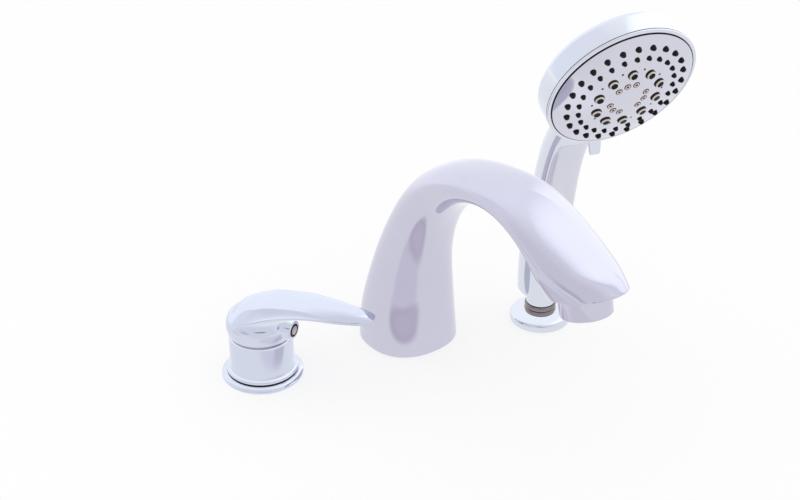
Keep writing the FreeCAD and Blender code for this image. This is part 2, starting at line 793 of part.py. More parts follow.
def lever_grub_screw():
    """Screw in the boss, with a hexagon-key pocket, that bears on the spindle's flat."""
    tip_rise = GRUB_RADIUS * math.tan(math.radians(SCREW_TILT))
    end = screw_start() - tip_rise - RUN_GAP
    start = end - GRUB_LENGTH
    body = along_screw(GRUB_RADIUS, start, end)
    return at_screw_heading(body.cut(along_screw(GRUB_KEY_RADIUS, start - PAST, start + GRUB_LENGTH / 3.0)))


def index_cap():
    """Round marker cap in the hub's pad, which covers the grub screw."""
    start = CAP_REACH - CAP_THICKNESS
    head = toward_cap(CAP_RADIUS, start, CAP_REACH)
    stem = toward_cap(CAP_STEM_RADIUS, start - CAP_STEM_LENGTH, start)
    return at_screw_heading(head.fuse(stem))


# Spout


def spout_body():
    """Hollow swan neck that widens into a hood over the outlet."""
    outer = loft(chord_sections(SPOUT_SECTIONS, 0.0, SPOUT_SQUARENESS))
    inner = loft(chord_sections(SPOUT_SECTIONS, SPOUT_WALL, SPOUT_SQUARENESS))
    below_floor = disc(WIDE, -PAST, SPOUT_FLOOR)
    lid = outlet_lid()
    solid = outer.cut(inner.cut(below_floor).cut(lid))
    socket = disc(SPOUT_SHANK_RADIUS + THREAD_GAP, -PAST, SPOUT_SOCKET_DEPTH)
    waterway = disc(SPOUT_SHANK_BORE, -PAST, SPOUT_FLOOR + PAST)
    outlet = in_outlet_frame(disc(OUTLET_RADIUS + THREAD_GAP, -WIDE, OUTLET_RISE))
    throat = in_outlet_frame(disc(OUTLET_BORE, -WIDE, OUTLET_RISE + THROAT_RISE))
    return solid.cut(socket).cut(waterway).cut(outlet).cut(throat).cut(seal_groove(SPOUT_SEAL_RADIUS))


def in_outlet_frame(shape):
    """Move a shape made about +Z to the outlet's tilted axis, +Z going up into the spout."""
    placed = shape.copy()
    placed.rotate(V(0, 0, 0), SIDEWAYS, -OUTLET_TILT)
    placed.translate(V(OUTLET_CENTRE[0], 0, OUTLET_CENTRE[1]))
    return placed


def outlet_lid():
    """Solid metal of the hood around the outlet's socket."""
    return in_outlet_frame(disc(WIDE, -WIDE, OUTLET_RISE + SPOUT_WALL))


def aerator_housing():
    """Chrome ring screwed into the hood, with a lip that holds the aerator."""
    ring = tube(OUTLET_RADIUS, OUTLET_BORE, -OUTLET_DROP, OUTLET_RISE)
    lip = tube(OUTLET_BORE + 0.5, OUTLET_BORE - AERATOR_LIP, -OUTLET_DROP, -OUTLET_DROP + AERATOR_LIP)
    solid = ring.fuse(lip).removeSplitter()
    solid = round_edges(solid, 0.8, rim_edge(OUTLET_RADIUS, -OUTLET_DROP))
    return in_outlet_frame(solid)


def aerator_insert():
    """Round plastic insert with a grid of water cells."""
    low = -OUTLET_DROP + AERATOR_LIP
    solid = disc(OUTLET_BORE - FIT_GAP, low, low + AERATOR_LENGTH)
    rings = [(1, 0.0), (6, AERATOR_PITCH), (12, 2.0 * AERATOR_PITCH)]
    for count, pitch in rings:
        for at in around(count, pitch):
            solid = solid.cut(disc(AERATOR_CELL, low - PAST, low + AERATOR_LENGTH + PAST, at))
    return in_outlet_frame(solid)


def aerator_seal():
    low = -OUTLET_DROP + AERATOR_LIP + AERATOR_LENGTH
    return in_outlet_frame(tube(OUTLET_BORE - FIT_GAP, OUTLET_BORE - 3.0, low, low + AERATOR_SEAL))


def spout_shank():
    return shank(SPOUT_SHANK_RADIUS, SPOUT_SHANK_BORE, SPOUT_SOCKET_DEPTH, SPOUT_SHANK_TAIL)


# Deck holder


def holder_flange():
    bore = HOLDER_SHANK_RADIUS + THREAD_GAP
    solid = tube(HOLDER_FLANGE_RADIUS, HOLDER_SHANK_BORE, 0.0, HOLDER_FLANGE_TOP)
    solid = round_edges(solid, HOLDER_FLANGE_ROUND, rim_edge(HOLDER_FLANGE_RADIUS, HOLDER_FLANGE_TOP))
    solid = solid.cut(disc(bore, -PAST, HOLDER_FLANGE_TOP / 2.0))
    return solid.cut(seal_groove(holder_seal_radius()))


def holder_seal_radius():
    return (HOLDER_SHANK_RADIUS + HOLDER_FLANGE_RADIUS) / 2.0


def holder_shank():
    return shank(HOLDER_SHANK_RADIUS, HOLDER_SHANK_BORE, HOLDER_FLANGE_TOP / 2.0, HOLDER_SHANK_TAIL)


def holder_neck():
    """Collar on the flange with two rounded beads, which carries the hose connector."""
    low = HOLDER_FLANGE_TOP
    solid = tube(HOLDER_NECK_WAIST, HOLDER_NECK_BORE, low, HOLDER_NECK_TOP)
    bead_section = (HOLDER_NECK_TOP - low) / (2.0 * HOLDER_NECK_BEADS)
    for i in range(HOLDER_NECK_BEADS):
        height = low + bead_section * (2 * i + 1)
        bead = Part.makeTorus(HOLDER_NECK_RADIUS - bead_section, bead_section - 0.05, V(0, 0, height))
        solid = solid.fuse(bead)
    bore = disc(HOLDER_NECK_BORE, low - WIDE, HOLDER_NECK_TOP + WIDE)
    return solid.cut(bore)


def holder_liner():
    """Plastic lining of the holder, which the hose runs through."""
    outer = HOLDER_SHANK_BORE - THREAD_GAP
    nut_bottom = -RIM_THICKNESS - RUBBER_WASHER - STEEL_WASHER - BACKNUT_HEIGHT
    return tube(outer, outer - LINER_WALL, nut_bottom - HOLDER_SHANK_TAIL, HOLDER_FLANGE_TOP)


# Hose connector and hand shower


def hose_connector():
    """Nut and barrel on the hose's end; its shoulder stands on the holder's neck."""
    solid = turned(
        [
            (0.0, HOSE_TAIL_END),
            (HOSE_TAIL_RADIUS, HOSE_TAIL_END),
            (HOSE_TAIL_RADIUS, CONNECTOR_BARREL_END),
            (CONNECTOR_BARREL, CONNECTOR_BARREL_END + 2.0),
            (CONNECTOR_BARREL, HOLDER_NECK_TOP),
            (CONNECTOR_RADIUS, HOLDER_NECK_TOP),
            (CONNECTOR_RADIUS, CONNECTOR_TOP),
            (0.0, CONNECTOR_TOP),
        ]
    )
    floor = NIPPLE_BOTTOM - HOSE_WASHER
    solid = solid.cut(disc(NIPPLE_RADIUS + RUN_GAP, floor, CONNECTOR_TOP + PAST))
    return solid.cut(disc(HOSE_BORE, HOSE_TAIL_END - PAST, floor + PAST))


def hose_washer():
    return tube(NIPPLE_RADIUS - FIT_GAP, NIPPLE_BORE, NIPPLE_BOTTOM - HOSE_WASHER, NIPPLE_BOTTOM)


def in_head_frame(shape):
    """Move a shape made about +Z to the shower head's axis, +Z going out of the face."""
    placed = shape.copy()
    placed.rotate(V(0, 0, 0), V(0, 0, 1), 90.0)
    placed.rotate(V(0, 0, 0), SIDEWAYS, 90.0 + HEAD_DROOP)
    placed.translate(V(HEAD_FORWARD, 0, HEAD_HEIGHT))
    return placed


def turned_edges(edges):
    """Solid turned about Z from a closed chain of edges in the XZ plane."""
    return Part.Face(Part.Wire(edges)).revolve(V(0, 0, 0), V(0, 0, 1), 360)


def head_block(wall, front):
    """The head's outline drawn in by a wall: domed back, sloping shoulder, straight side."""
    back = -HEAD_DEPTH + wall
    shoulder = V(HEAD_BACK_RADIUS - wall, 0, -HEAD_BACK_HEIGHT + wall)
    middle = V(shoulder.x / 2.0, 0, back + (shoulder.z - back) * HEAD_BACK_SAG)
    side = V(HEAD_RADIUS - wall, 0, -HEAD_SIDE)
    rim = V(HEAD_RADIUS - wall, 0, front)
    return turned_edges(
        [
            Part.Arc(V(0, 0, back), middle, shoulder).toShape(),
            Part.makeLine(shoulder, side),
            Part.makeLine(side, rim),
            Part.makeLine(rim, V(0, 0, front)),
            Part.makeLine(V(0, 0, front), V(0, 0, back)),
        ]
    )


def lip_bore():
    return HEAD_RADIUS - LIP_WALL


def ring_seat():
    return RING_BACK - TURN_GAP


def head_outer():
    return head_block(0.0, RING_FRONT - RING_FLANGE - TURN_GAP)


def head_hollow():
    """Space in the head: the chamber, the selector ring's seat and the slot of its tab."""
    seat = disc(lip_bore(), ring_seat(), PAST)
    half_angle = math.degrees(TAB_WIDTH / 2.0 / HEAD_RADIUS) + TAB_SPARE_ANGLE
    slot = Part.makeCylinder(
        HEAD_RADIUS + PAST, PAST - ring_seat(), V(0, 0, ring_seat()), V(0, 0, 1), TAB_SWING + 2.0 * half_angle
    )
    slot.rotate(V(0, 0, 0), V(0, 0, 1), TAB_ANGLE - half_angle)
    return head_block(HEAD_WALL, 0.0).fuse([seat, slot])


def head_share(forward, up):
    """Point at shares of the way, forward and up, from the handle's foot to the head."""
    return HEAD_FORWARD * forward, HANDLE_FOOT + (HEAD_HEIGHT - HANDLE_FOOT) * up


def handle_path():
    """Rows of forward, up, half width and half depth along the handle's centre line."""
    rows = []
    for forward, up, half_width, half_depth in HANDLE_ROWS:
        x, z = head_share(forward, up)
        rows.append((x, z, half_width, half_depth))
    return rows


def shoulder_top():
    return CONNECTOR_TOP + HANDLE_SHOULDER


def panel_bottom():
    return head_share(0.0, PANEL_LOW)[1]


def panel_top():
    return head_share(0.0, PANEL_HIGH)[1]


def front_of_handle():
    """Block on the forward side of the handle's centre line, between the panel's ends."""
    rows = [(x, z) for x, z, _, _ in handle_path() if panel_bottom() < z < panel_top()]
    low_x = rows[0][0] / 2.0
    high_x = rows[-1][0] + PANEL_HALF_WIDTH / 4.0
    outline = [(low_x, panel_bottom())] + rows + [(high_x, panel_top())]
    outline += [(high_x + WIDE, panel_top()), (high_x + WIDE, panel_bottom())]
    face = Part.Face(polygon_wire([(x, -WIDE, z) for x, z in outline]))
    return face.extrude(V(0, 2.0 * WIDE, 0))


def panel_region(gap):
    """Block with two round corners; what it shares with the handle's skin is the panel."""
    half = PANEL_HALF_WIDTH - gap
    low = panel_bottom() + gap
    high = panel_top() - gap
    block = Part.makeBox(WIDE, 2.0 * half, high - low, V(0, -half, low))

    def top_corner(edge):
        centre = edge.CenterOfMass
        return abs(centre.z - high) < 1e-6 and abs(abs(centre.y) - half) < 1e-6

    return round_edges(block, PANEL_CORNER - gap, top_corner).common(front_of_handle())


def handset_shell():
    """Handle and back of the head in one moulding, hollow, with a pocket for the panel."""
    handle = loft(path_sections(handle_path(), 0.0, HANDLE_SQUARENESS))
    hollow = loft(path_sections(handle_path(), HANDLE_WALL, HANDLE_SQUARENESS))
    skin = loft(path_sections(handle_path(), PANEL_DEPTH, HANDLE_SQUARENESS))
    below_shoulder = disc(WIDE, 0.0, shoulder_top())
    solid = handle.fuse(in_head_frame(head_outer()))
    solid = solid.cut(hollow.cut(below_shoulder)).cut(in_head_frame(head_hollow()))
    solid = solid.cut(panel_region(0.0).cut(skin))
    recess = disc(CONNECTOR_RADIUS + TURN_GAP, HANDLE_FOOT - PAST, CONNECTOR_TOP)
    nipple_hole = disc(HANDLE_SHOULDER_BORE, CONNECTOR_TOP - PAST, shoulder_top() + PAST)
    return solid.cut(recess).cut(nipple_hole)


def handle_panel():
    handle = loft(path_sections(handle_path(), 0.0, HANDLE_SQUARENESS))
    skin = loft(path_sections(handle_path(), PANEL_DEPTH, HANDLE_SQUARENESS))
    return handle.common(panel_region(FIT_GAP)).cut(skin)


def tube_rows(gap):
    """The handle's centre line, from above its shoulder into the head, as a round tube."""
    radius = TUBE_RADIUS + gap
    end_radius = TUBE_END_RADIUS + gap
    places = [(0.0, shoulder_top()), head_share(*TUBE_START)]
    places += [(x, z) for x, z, _, _ in handle_path()[2:-2]]
    end = head_share(*TUBE_END)
    return [(x, z, radius, radius) for x, z in places] + [(end[0], end[1], end_radius, end_radius)]


def waterway_tube():
    """Inlet nipple and the curved tube that takes water up the handle to the head."""
    outer = loft(path_sections(tube_rows(0.0), 0.0, 2.0))
    inner = loft(path_sections(tube_rows(-TUBE_WALL), 0.0, 2.0))
    nipple = disc(NIPPLE_RADIUS, NIPPLE_BOTTOM, shoulder_top())
    bore = disc(TUBE_INLET, NIPPLE_BOTTOM - PAST, shoulder_top() + PAST)
    return nipple.fuse(outer).cut(bore).cut(inner)


def diverter_ports(count):
    """Centres of the ports between the fixed core and the turning disc."""
    return around(count, DIVERTER_RADIUS * 0.6)


def water_core():
    """Fixed chamber in the head, seated in the shell, that the waterway tube feeds."""
    inside = head_block(HEAD_WALL + FIT_GAP, CORE_FRONT)
    solid = inside.common(disc(HEAD_RADIUS, CORE_BACK, CORE_FRONT))
    solid = solid.cut(tube(CORE_CHAMBER_RADIUS, FACE_SCREW_HEAD + 2.0, CORE_BACK + 1.6, CORE_FRONT - 1.4))
    for at in diverter_ports(DIVERTER_PORT_COUNT):
        solid = solid.cut(disc(DIVERTER_PORT, CORE_FRONT - 3.0, CORE_FRONT + PAST, at))
    solid = solid.cut(disc(FACE_SCREW_RADIUS + RUN_GAP, CORE_BACK + 2.0, CORE_FRONT + PAST))
    solid = in_head_frame(solid)
    return solid.cut(loft(path_sections(tube_rows(FIT_GAP), 0.0, 2.0)))


def diverter_disc():
    """Rubber-faced disc that turns with the face and picks one of the core's ports."""
    low = CORE_FRONT + DIVERTER_GAP
    solid = tube(DIVERTER_RADIUS, FACE_SCREW_RADIUS + FIT_GAP, low, DISTRIBUTOR_BACK)
    for at in diverter_ports(1):
        solid = solid.cut(disc(DIVERTER_PORT, low - PAST, DISTRIBUTOR_BACK + PAST, at))
    return in_head_frame(solid)


def detent_ball():
    """Ball that clicks into the core's notches as the spray is chosen."""
    height = DISTRIBUTOR_BACK - DETENT_RADIUS
    return in_head_frame(Part.makeSphere(DETENT_RADIUS, V(0, DETENT_PITCH, height)))


def distributor_plate():
    """Plastic plate behind the face that feeds each group of nozzles and turns with it."""
    solid = disc(PLATE_RADIUS - PLATE_EDGE, DISTRIBUTOR_BACK, DISTRIBUTOR_FRONT)
    solid = solid.cut(disc(FACE_SCREW_RADIUS + FIT_GAP, DISTRIBUTOR_BACK - PAST, DISTRIBUTOR_FRONT + PAST))
    solid = solid.cut(disc(FACE_SCREW_HEAD + FIT_GAP, DISTRIBUTOR_FRONT - 2.0, DISTRIBUTOR_FRONT + PAST))
    for count, pitch, radius, _, start in RAIN_RINGS:
        for at in around(count, pitch, start):
            solid = solid.cut(disc(radius * 0.5, DISTRIBUTOR_FRONT - 3.0, DISTRIBUTOR_FRONT + PAST, at))
    rim_outer = PLATE_RADIUS - PLATE_EDGE
    rim = tube(rim_outer, rim_outer - PLATE_WALL, DISTRIBUTOR_FRONT, PLATE_DOME)
    return in_head_frame(solid.fuse(rim.common(face_ball(PLATE_WALL + FIT_GAP))))


def face_screw():
    """Screw on the head's axis that holds the turning face to the fixed core."""
    low = CORE_BACK + 2.5
    stem = disc(FACE_SCREW_RADIUS, low, DISTRIBUTOR_FRONT)
    head = disc(FACE_SCREW_HEAD, DISTRIBUTOR_FRONT - 2.0, DISTRIBUTOR_FRONT)
    return in_head_frame(stem.fuse(head))


def face_ball_radius():
    return (PLATE_RADIUS**2 + PLATE_DOME**2) / (2.0 * PLATE_DOME)


def face_ball(depth):
    """Ball whose cap is the spray face's curve, sunk by a depth."""
    radius = face_ball_radius()
    return Part.makeSphere(radius - depth, V(0, 0, PLATE_DOME - radius))


def dome(radius, depth, wall):
    """Shallow spherical cap of even wall, a depth under the spray face's curve."""
    keep = disc(radius, -PLATE_DOME, PLATE_DOME + PAST)
    return face_ball(depth).cut(face_ball(depth + wall)).common(keep)


def face_height(distance):
    """Height of the spray face's outer surface at a distance from its axis."""
    radius = face_ball_radius()
    return PLATE_DOME - radius + math.sqrt(radius**2 - distance**2)


def mist_places():
    """Centre and turn of each oval mist nozzle: groups of three side by side."""
    places = []
    for group in range(MIST_GROUPS):
        middle = MIST_START + group * 360.0 / MIST_GROUPS
        for step in (-1, 0, 1):
            angle = middle + step * MIST_SPACING
            a = math.radians(angle)
            places.append(((MIST_PITCH * math.cos(a), MIST_PITCH * math.sin(a)), angle))
    return places


def oval(at, angle, half_length, half_width, low, high):
    """Upright oval peg: two round ends joined by a flat-sided middle."""
    straight = half_length - half_width
    peg = Part.makeBox(2.0 * straight, 2.0 * half_width, high - low, V(-straight, -half_width, low))
    for side in (-1, 1):
        peg = peg.fuse(disc(half_width, low, high, (side * straight, 0.0)))
    peg = peg.removeSplitter()
    peg.rotate(V(0, 0, 0), V(0, 0, 1), angle + 90.0)
    peg.translate(V(at[0], at[1], 0))
    return peg


def mist_holes():
    """Cutters through the plate and the mat for the mist nozzles."""
    length = MIST_HALF_LENGTH + FIT_GAP
    width = MIST_HALF_WIDTH + FIT_GAP
    return [oval(at, angle, length, width, -FACE_SPAN, FACE_SPAN) for at, angle in mist_places()]


def face_plate():
    """Chromed spray plate with a hole for each nozzle."""
    plate = dome(PLATE_RADIUS, 0.0, PLATE_WALL)
    cutters = []
    for count, pitch, radius, _, start in RAIN_RINGS:
        cutters += [disc(radius + FIT_GAP, -FACE_SPAN, FACE_SPAN, at) for at in around(count, pitch, start)]
    big_holes = around(MASSAGE_COUNT, MASSAGE_PITCH, MASSAGE_START)
    cutters += [disc(MASSAGE_RADIUS + FIT_GAP, -FACE_SPAN, FACE_SPAN, at) for at in big_holes]
    cutters += [
        disc(PIN_HOLE_RADIUS, -FACE_SPAN, FACE_SPAN, at)
        for at in around(PIN_HOLE_COUNT, PIN_HOLE_PITCH, PIN_HOLE_START)
    ]
    return in_head_frame(plate.cut(cutters + mist_holes()))


def nozzle_mat():
    """Silicone sheet behind the plate, with a soft nub in each rain hole."""
    sheet = dome(PLATE_RADIUS - PLATE_EDGE - PLATE_WALL - FIT_GAP, PLATE_WALL, MAT_WALL)
    nubs = []
    for count, pitch, radius, rise, start in RAIN_RINGS:
        top = face_height(pitch) + rise
        root = face_height(pitch) - PLATE_WALL - MAT_WALL / 2.0
        for at in around(count, pitch, start):
            nubs.append(Part.makeCone(radius, radius * 0.8, top - root, V(at[0], at[1], root)))
    big_holes = around(MASSAGE_COUNT, MASSAGE_PITCH, MASSAGE_START)
    cutters = [disc(MASSAGE_RADIUS + FIT_GAP, -FACE_SPAN, FACE_SPAN, at) for at in big_holes]
    return in_head_frame(sheet.fuse(nubs).cut(cutters + mist_holes()))


def massage_nozzles():
    pieces = []
    top = face_height(MASSAGE_PITCH) + MASSAGE_RISE
    for at in around(MASSAGE_COUNT, MASSAGE_PITCH, MASSAGE_START):
        body = disc(MASSAGE_RADIUS, DISTRIBUTOR_FRONT, top, at)
        well = disc(MASSAGE_RADIUS - 0.9, top - 1.2, top + PAST, at)
        bore = disc(MASSAGE_BORE, DISTRIBUTOR_FRONT - PAST, top, at)
        pieces.append(body.cut(well).cut(bore))
    return in_head_frame(Part.makeCompound(pieces))


def mist_inserts():
    top = face_height(MIST_PITCH) + MIST_RISE
    pegs = [
        oval(at, angle, MIST_HALF_LENGTH, MIST_HALF_WIDTH, DISTRIBUTOR_FRONT, top)
        for at, angle in mist_places()
    ]
    return in_head_frame(Part.makeCompound(pegs))


def selector_tab():
    """Tapered tab that leans forward from the ring's sleeve, clear of the shell's side."""
    outline = [
        (0.0, -TAB_WIDTH / 2.0),
        (TAB_LENGTH, -TAB_TIP_WIDTH / 2.0),
        (TAB_LENGTH, TAB_TIP_WIDTH / 2.0),
        (0.0, TAB_WIDTH / 2.0),
    ]
    face = Part.Face(polygon_wire([(x, y, -TAB_THICKNESS) for x, y in outline]))
    tab = face.extrude(V(0, 0, TAB_THICKNESS))
    tab = round_edges(tab, TAB_ROUND, lambda edge: abs(edge.CenterOfMass.x - TAB_LENGTH) < 1e-6)
    tab.rotate(V(0, 0, 0), SIDEWAYS, -TAB_TILT)
    tab.translate(V(RING_BORE + 0.1, 0, TAB_ROOT_HEIGHT))
    tab.rotate(V(0, 0, 0), V(0, 0, 1), TAB_ANGLE)
    return tab.cut(disc(HEAD_RADIUS + TURN_GAP, -FACE_SPAN, RING_BACK))


def selector_ring():
    """Ring around the spray plate: front flange, sleeve in the shell's seat, web and tab."""
    flange_back = RING_FRONT - RING_FLANGE
    flange = tube(HEAD_RADIUS, RING_BORE, flange_back, RING_FRONT)
    flange = round_edges(flange, RING_FLANGE / 2.0, rim_edge(HEAD_RADIUS, RING_FRONT))
    sleeve = tube(lip_bore() - TURN_GAP, RING_BORE, RING_BACK, flange_back)
    web_bore = PLATE_RADIUS - PLATE_EDGE + FIT_GAP
    web = tube(RING_BORE + TURN_GAP, web_bore, RING_BACK, RING_BACK + RING_WEB)
    return in_head_frame(flange.fuse([sleeve, web, selector_tab()]))


# Placing and writing the pieces


def at_station(shape, place, heading):
    placed = shape.copy()
    placed.rotate(V(0, 0, 0), V(0, 0, 1), heading)
    placed.translate(V(place[0], place[1], 0))
    return placed


def mixer_pieces():
    rubber, steel, nut = clamp_pieces(MIXER_SHANK_RADIUS)
    return {
        "mixer_flange": mixer_flange(),
        "mixer_deck_seal": deck_seal(mixer_seal_radius()),
        "mixer_body": mixer_body(),
        "mixer_shank": mixer_shank(),
        "mixer_rubber_washer": rubber,
        "mixer_steel_washer": steel,
        "mixer_backnut": nut,
        "cartridge_base": cartridge_base(),
        "cartridge_port_seals": port_seals(),
        "fixed_ceramic_disc": fixed_ceramic_disc(),
        "moving_ceramic_disc": moving_ceramic_disc(),
        "disc_carrier": disc_carrier(),
        "cartridge_guide": cartridge_guide(),
        "spindle_pin": spindle_pin(),
        "spindle": spindle(),
        "cartridge_housing": cartridge_housing(),
        "cartridge_nut": cartridge_nut(),
        "dome_ring": dome_ring(),
        "lever_handle": lever_handle(),
        "lever_grub_screw": lever_grub_screw(),
        "index_cap": index_cap(),
    }


def spout_pieces():
    rubber, steel, nut = clamp_pieces(SPOUT_SHANK_RADIUS)
    return {
        "spout_body": spout_body(),
        "spout_deck_seal": deck_seal(SPOUT_SEAL_RADIUS),
        "spout_shank": spout_shank(),
        "spout_rubber_washer": rubber,
        "spout_steel_washer": steel,
        "spout_backnut": nut,
        "aerator_housing": aerator_housing(),
        "aerator_insert": aerator_insert(),
        "aerator_seal": aerator_seal(),
    }


def shower_pieces():
    rubber, steel, nut = clamp_pieces(HOLDER_SHANK_RADIUS)
    return {
        "holder_flange": holder_flange(),
        "holder_deck_seal": deck_seal(holder_seal_radius()),
        "holder_shank": holder_shank(),
        "holder_rubber_washer": rubber,
        "holder_steel_washer": steel,
        "holder_backnut": nut,
        "holder_neck": holder_neck(),
        "holder_liner": holder_liner(),
        "hose_connector": hose_connector(),
        "hose_washer": hose_washer(),
        "handset_shell": handset_shell(),
        "handle_panel": handle_panel(),
        "waterway_tube": waterway_tube(),
        "water_core": water_core(),
        "diverter_disc": diverter_disc(),
        "detent_ball": detent_ball(),
        "distributor_plate": distributor_plate(),
        "face_screw": face_screw(),
        "selector_ring": selector_ring(),
        "face_plate": face_plate(),
        "nozzle_mat": nozzle_mat(),
        "massage_nozzles": massage_nozzles(),
        "mist_inserts": mist_inserts(),
    }


def main():
    os.makedirs("parts", exist_ok=True)
    stations = [
        (mixer_pieces(), MIXER_AT, MIXER_HEADING),
        (spout_pieces(), SPOUT_AT, SPOUT_HEADING),
        (shower_pieces(), SHOWER_AT, SHOWER_HEADING),
    ]
    for pieces, place, heading in stations:
        for name, shape in pieces.items():
            placed = at_station(shape, place, heading)
            placed.exportStep("parts/" + name + ".step")
            print(name, len(placed.Solids), "solids", round(placed.Volume, 1), "mm3", placed.isValid())


main()
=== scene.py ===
"""Looks of the bath mixer set: chrome shells, spray face, materials, floor, soft light and camera."""

import json
import math

import bpy
import numpy as np
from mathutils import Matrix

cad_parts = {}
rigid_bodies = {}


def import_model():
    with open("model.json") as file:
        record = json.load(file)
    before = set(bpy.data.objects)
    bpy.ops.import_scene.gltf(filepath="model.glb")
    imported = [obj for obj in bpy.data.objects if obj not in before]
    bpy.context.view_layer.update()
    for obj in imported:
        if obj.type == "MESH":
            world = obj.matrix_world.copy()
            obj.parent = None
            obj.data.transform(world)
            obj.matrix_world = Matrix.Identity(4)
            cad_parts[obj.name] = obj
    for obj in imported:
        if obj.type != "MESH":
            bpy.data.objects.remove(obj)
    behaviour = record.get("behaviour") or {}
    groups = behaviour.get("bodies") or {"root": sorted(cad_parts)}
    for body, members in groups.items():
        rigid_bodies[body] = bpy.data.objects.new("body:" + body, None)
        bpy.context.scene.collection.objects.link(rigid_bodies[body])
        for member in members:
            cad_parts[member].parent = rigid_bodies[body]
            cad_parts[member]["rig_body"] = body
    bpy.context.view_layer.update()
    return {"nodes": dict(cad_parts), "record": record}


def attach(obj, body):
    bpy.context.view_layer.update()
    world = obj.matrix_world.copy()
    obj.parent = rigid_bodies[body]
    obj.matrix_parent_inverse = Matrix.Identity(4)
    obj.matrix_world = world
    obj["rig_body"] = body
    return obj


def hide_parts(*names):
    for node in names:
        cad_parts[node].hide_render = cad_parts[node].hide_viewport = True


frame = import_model()
nodes = frame["nodes"]

# Camera of the photograph: where it stands, in metres, how far it looks down, and its lens

CAMERA_AT = (-0.0058, -0.9127, 0.6168)
CAMERA_DOWN = math.radians(31.0)
FOCAL_PIXELS = 1518.0
IMAGE_WIDTH = 800.0
SENSOR_WIDTH = 36.0


def make_camera():
    """A level camera that looks along +Y and down, its lens worked out from a focal length in pixels."""
    data = bpy.data.cameras.new("camera")
    data.sensor_width = SENSOR_WIDTH
    data.lens = FOCAL_PIXELS / IMAGE_WIDTH * SENSOR_WIDTH
    data.clip_start = 0.01
    data.clip_end = 20.0
    camera = bpy.data.objects.new("camera", data)
    camera.location = CAMERA_AT
    camera.rotation_euler = (math.pi / 2.0 - CAMERA_DOWN, 0.0, 0.0)
    bpy.context.scene.collection.objects.link(camera)
    bpy.context.scene.camera = camera


make_camera()


# Places of the three stations: where each stands on the rim, in metres, and which way it faces

MIXER = ((-0.1013, -0.0490), math.radians(-15.0))
SPOUT = ((0.0, 0.0), math.radians(-54.0))
SHOWER = ((0.0967, 0.0189), math.radians(-67.2))

# The outlet ring and the shower head have tilted axes of their own in their station's plane

OUTLET = ((178.5, 124.8), math.radians(14.0))
HEAD = ((88.1, 221.4), math.radians(24.1))

MILLIMETRE = 0.001
TWO_PI = 2.0 * math.pi


def turned(points, angle):
    """Points turned about the Z axis, from +X towards +Y."""
    cos, sin = math.cos(angle), math.sin(angle)
    return points @ np.array([[cos, sin, 0.0], [-sin, cos, 0.0], [0.0, 0.0, 1.0]])


def leaned(points, angle):
    """Points turned about the Y axis, from +Z towards +X."""
    cos, sin = math.cos(angle), math.sin(angle)
    return points @ np.array([[cos, 0.0, -sin], [0.0, 1.0, 0.0], [sin, 0.0, cos]])


def at_station(points, station):
    """Points in millimetres about a station's own axis, forward along +X, turned by its heading and moved."""
    (place_x, place_y), heading = station
    return turned(points, heading) * MILLIMETRE + [place_x, place_y, 0.0]


def in_outlet(points):
    """Points about the outlet ring's axis, +Z up into the spout, to the spout station's frame."""
    (forward, up), tilt = OUTLET
    return leaned(points, -tilt) + [forward, 0.0, up]


def in_head(points):
    """Points about the head's axis, +Z out of the spray face and +Y up in it, to the shower's frame."""
    (forward, up), droop = HEAD
    return leaned(points[..., [2, 0, 1]], droop) + [forward, 0.0, up]


# Surfaces worked out on a grid


def smooth_rows(rows, at, key_columns):
    """Natural cubic curve through every column of the rows, read at distances run in the key columns."""
    rows = np.asarray(rows, float)
    run = run_of(rows, key_columns)
    gap = np.diff(run)
    count = len(rows)
    system = np.eye(count)
    wanted = np.zeros_like(rows)
    inner = np.arange(1, count - 1)
    system[inner, inner - 1] = gap[:-1]
    system[inner, inner] = 2.0 * (gap[:-1] + gap[1:])
    system[inner, inner + 1] = gap[1:]
    slope = np.diff(rows, axis=0) / gap[:, None]
    wanted[1:-1] = 6.0 * np.diff(slope, axis=0)
    bend = np.linalg.solve(system, wanted)
    i = np.clip(np.searchsorted(run, at, side="right") - 1, 0, count - 2)
    h = gap[i][:, None]
    a = (run[i + 1] - at)[:, None] / h
    b = (at - run[i])[:, None] / h
    cubic = ((a**3 - a) * bend[i] + (b**3 - b) * bend[i + 1]) * h**2 / 6.0
    return a * rows[i] + b * rows[i + 1] + cubic


def run_of(rows, key_columns):
    """Distance run in the key columns from the first row to each row."""
    steps = np.diff(np.asarray(rows, float)[:, key_columns], axis=0)
    return np.concatenate([[0.0], np.cumsum(np.linalg.norm(steps, axis=1))])


END_STEPS = 7


def rounded_stations(total, steps, low_round, high_round):
    """Distances along a run, and how far each section is drawn in, for a quarter circle at both ends."""
    turn = np.linspace(0.0, math.pi / 2.0, END_STEPS)
    rise, inset = 1.0 - np.cos(turn), 1.0 - np.sin(turn)
    middle = np.linspace(low_round, total - high_round, steps)[1:-1]
    at = np.concatenate([low_round * rise, middle, total - (high_round * rise)[::-1]])
    drawn = np.concatenate([low_round * inset, np.zeros(len(middle)), (high_round * inset)[::-1]])
    return at, drawn


def superellipse(count, squareness):
    """Unit closed curve |u|^n + |v|^n = 1 at even angles, as two arrays."""
    a = np.linspace(0.0, TWO_PI, count, endpoint=False)
    power = 2.0 / squareness
    u = np.sign(np.cos(a)) * np.abs(np.cos(a)) ** power
    v = np.sign(np.sin(a)) * np.abs(np.sin(a)) ** power
    return u, v


def signed_volume(points, faces):
    """Six times the volume inside a closed mesh of four-cornered faces; negative when it is inside out."""
    corners = points[faces]
    first = np.einsum("ij,ij->i", corners[:, 0], np.cross(corners[:, 1], corners[:, 2]))
    second = np.einsum("ij,ij->i", corners[:, 0], np.cross(corners[:, 2], corners[:, 3]))
    return float(first.sum() + second.sum())


SHARP_ANGLE = math.radians(35.0)


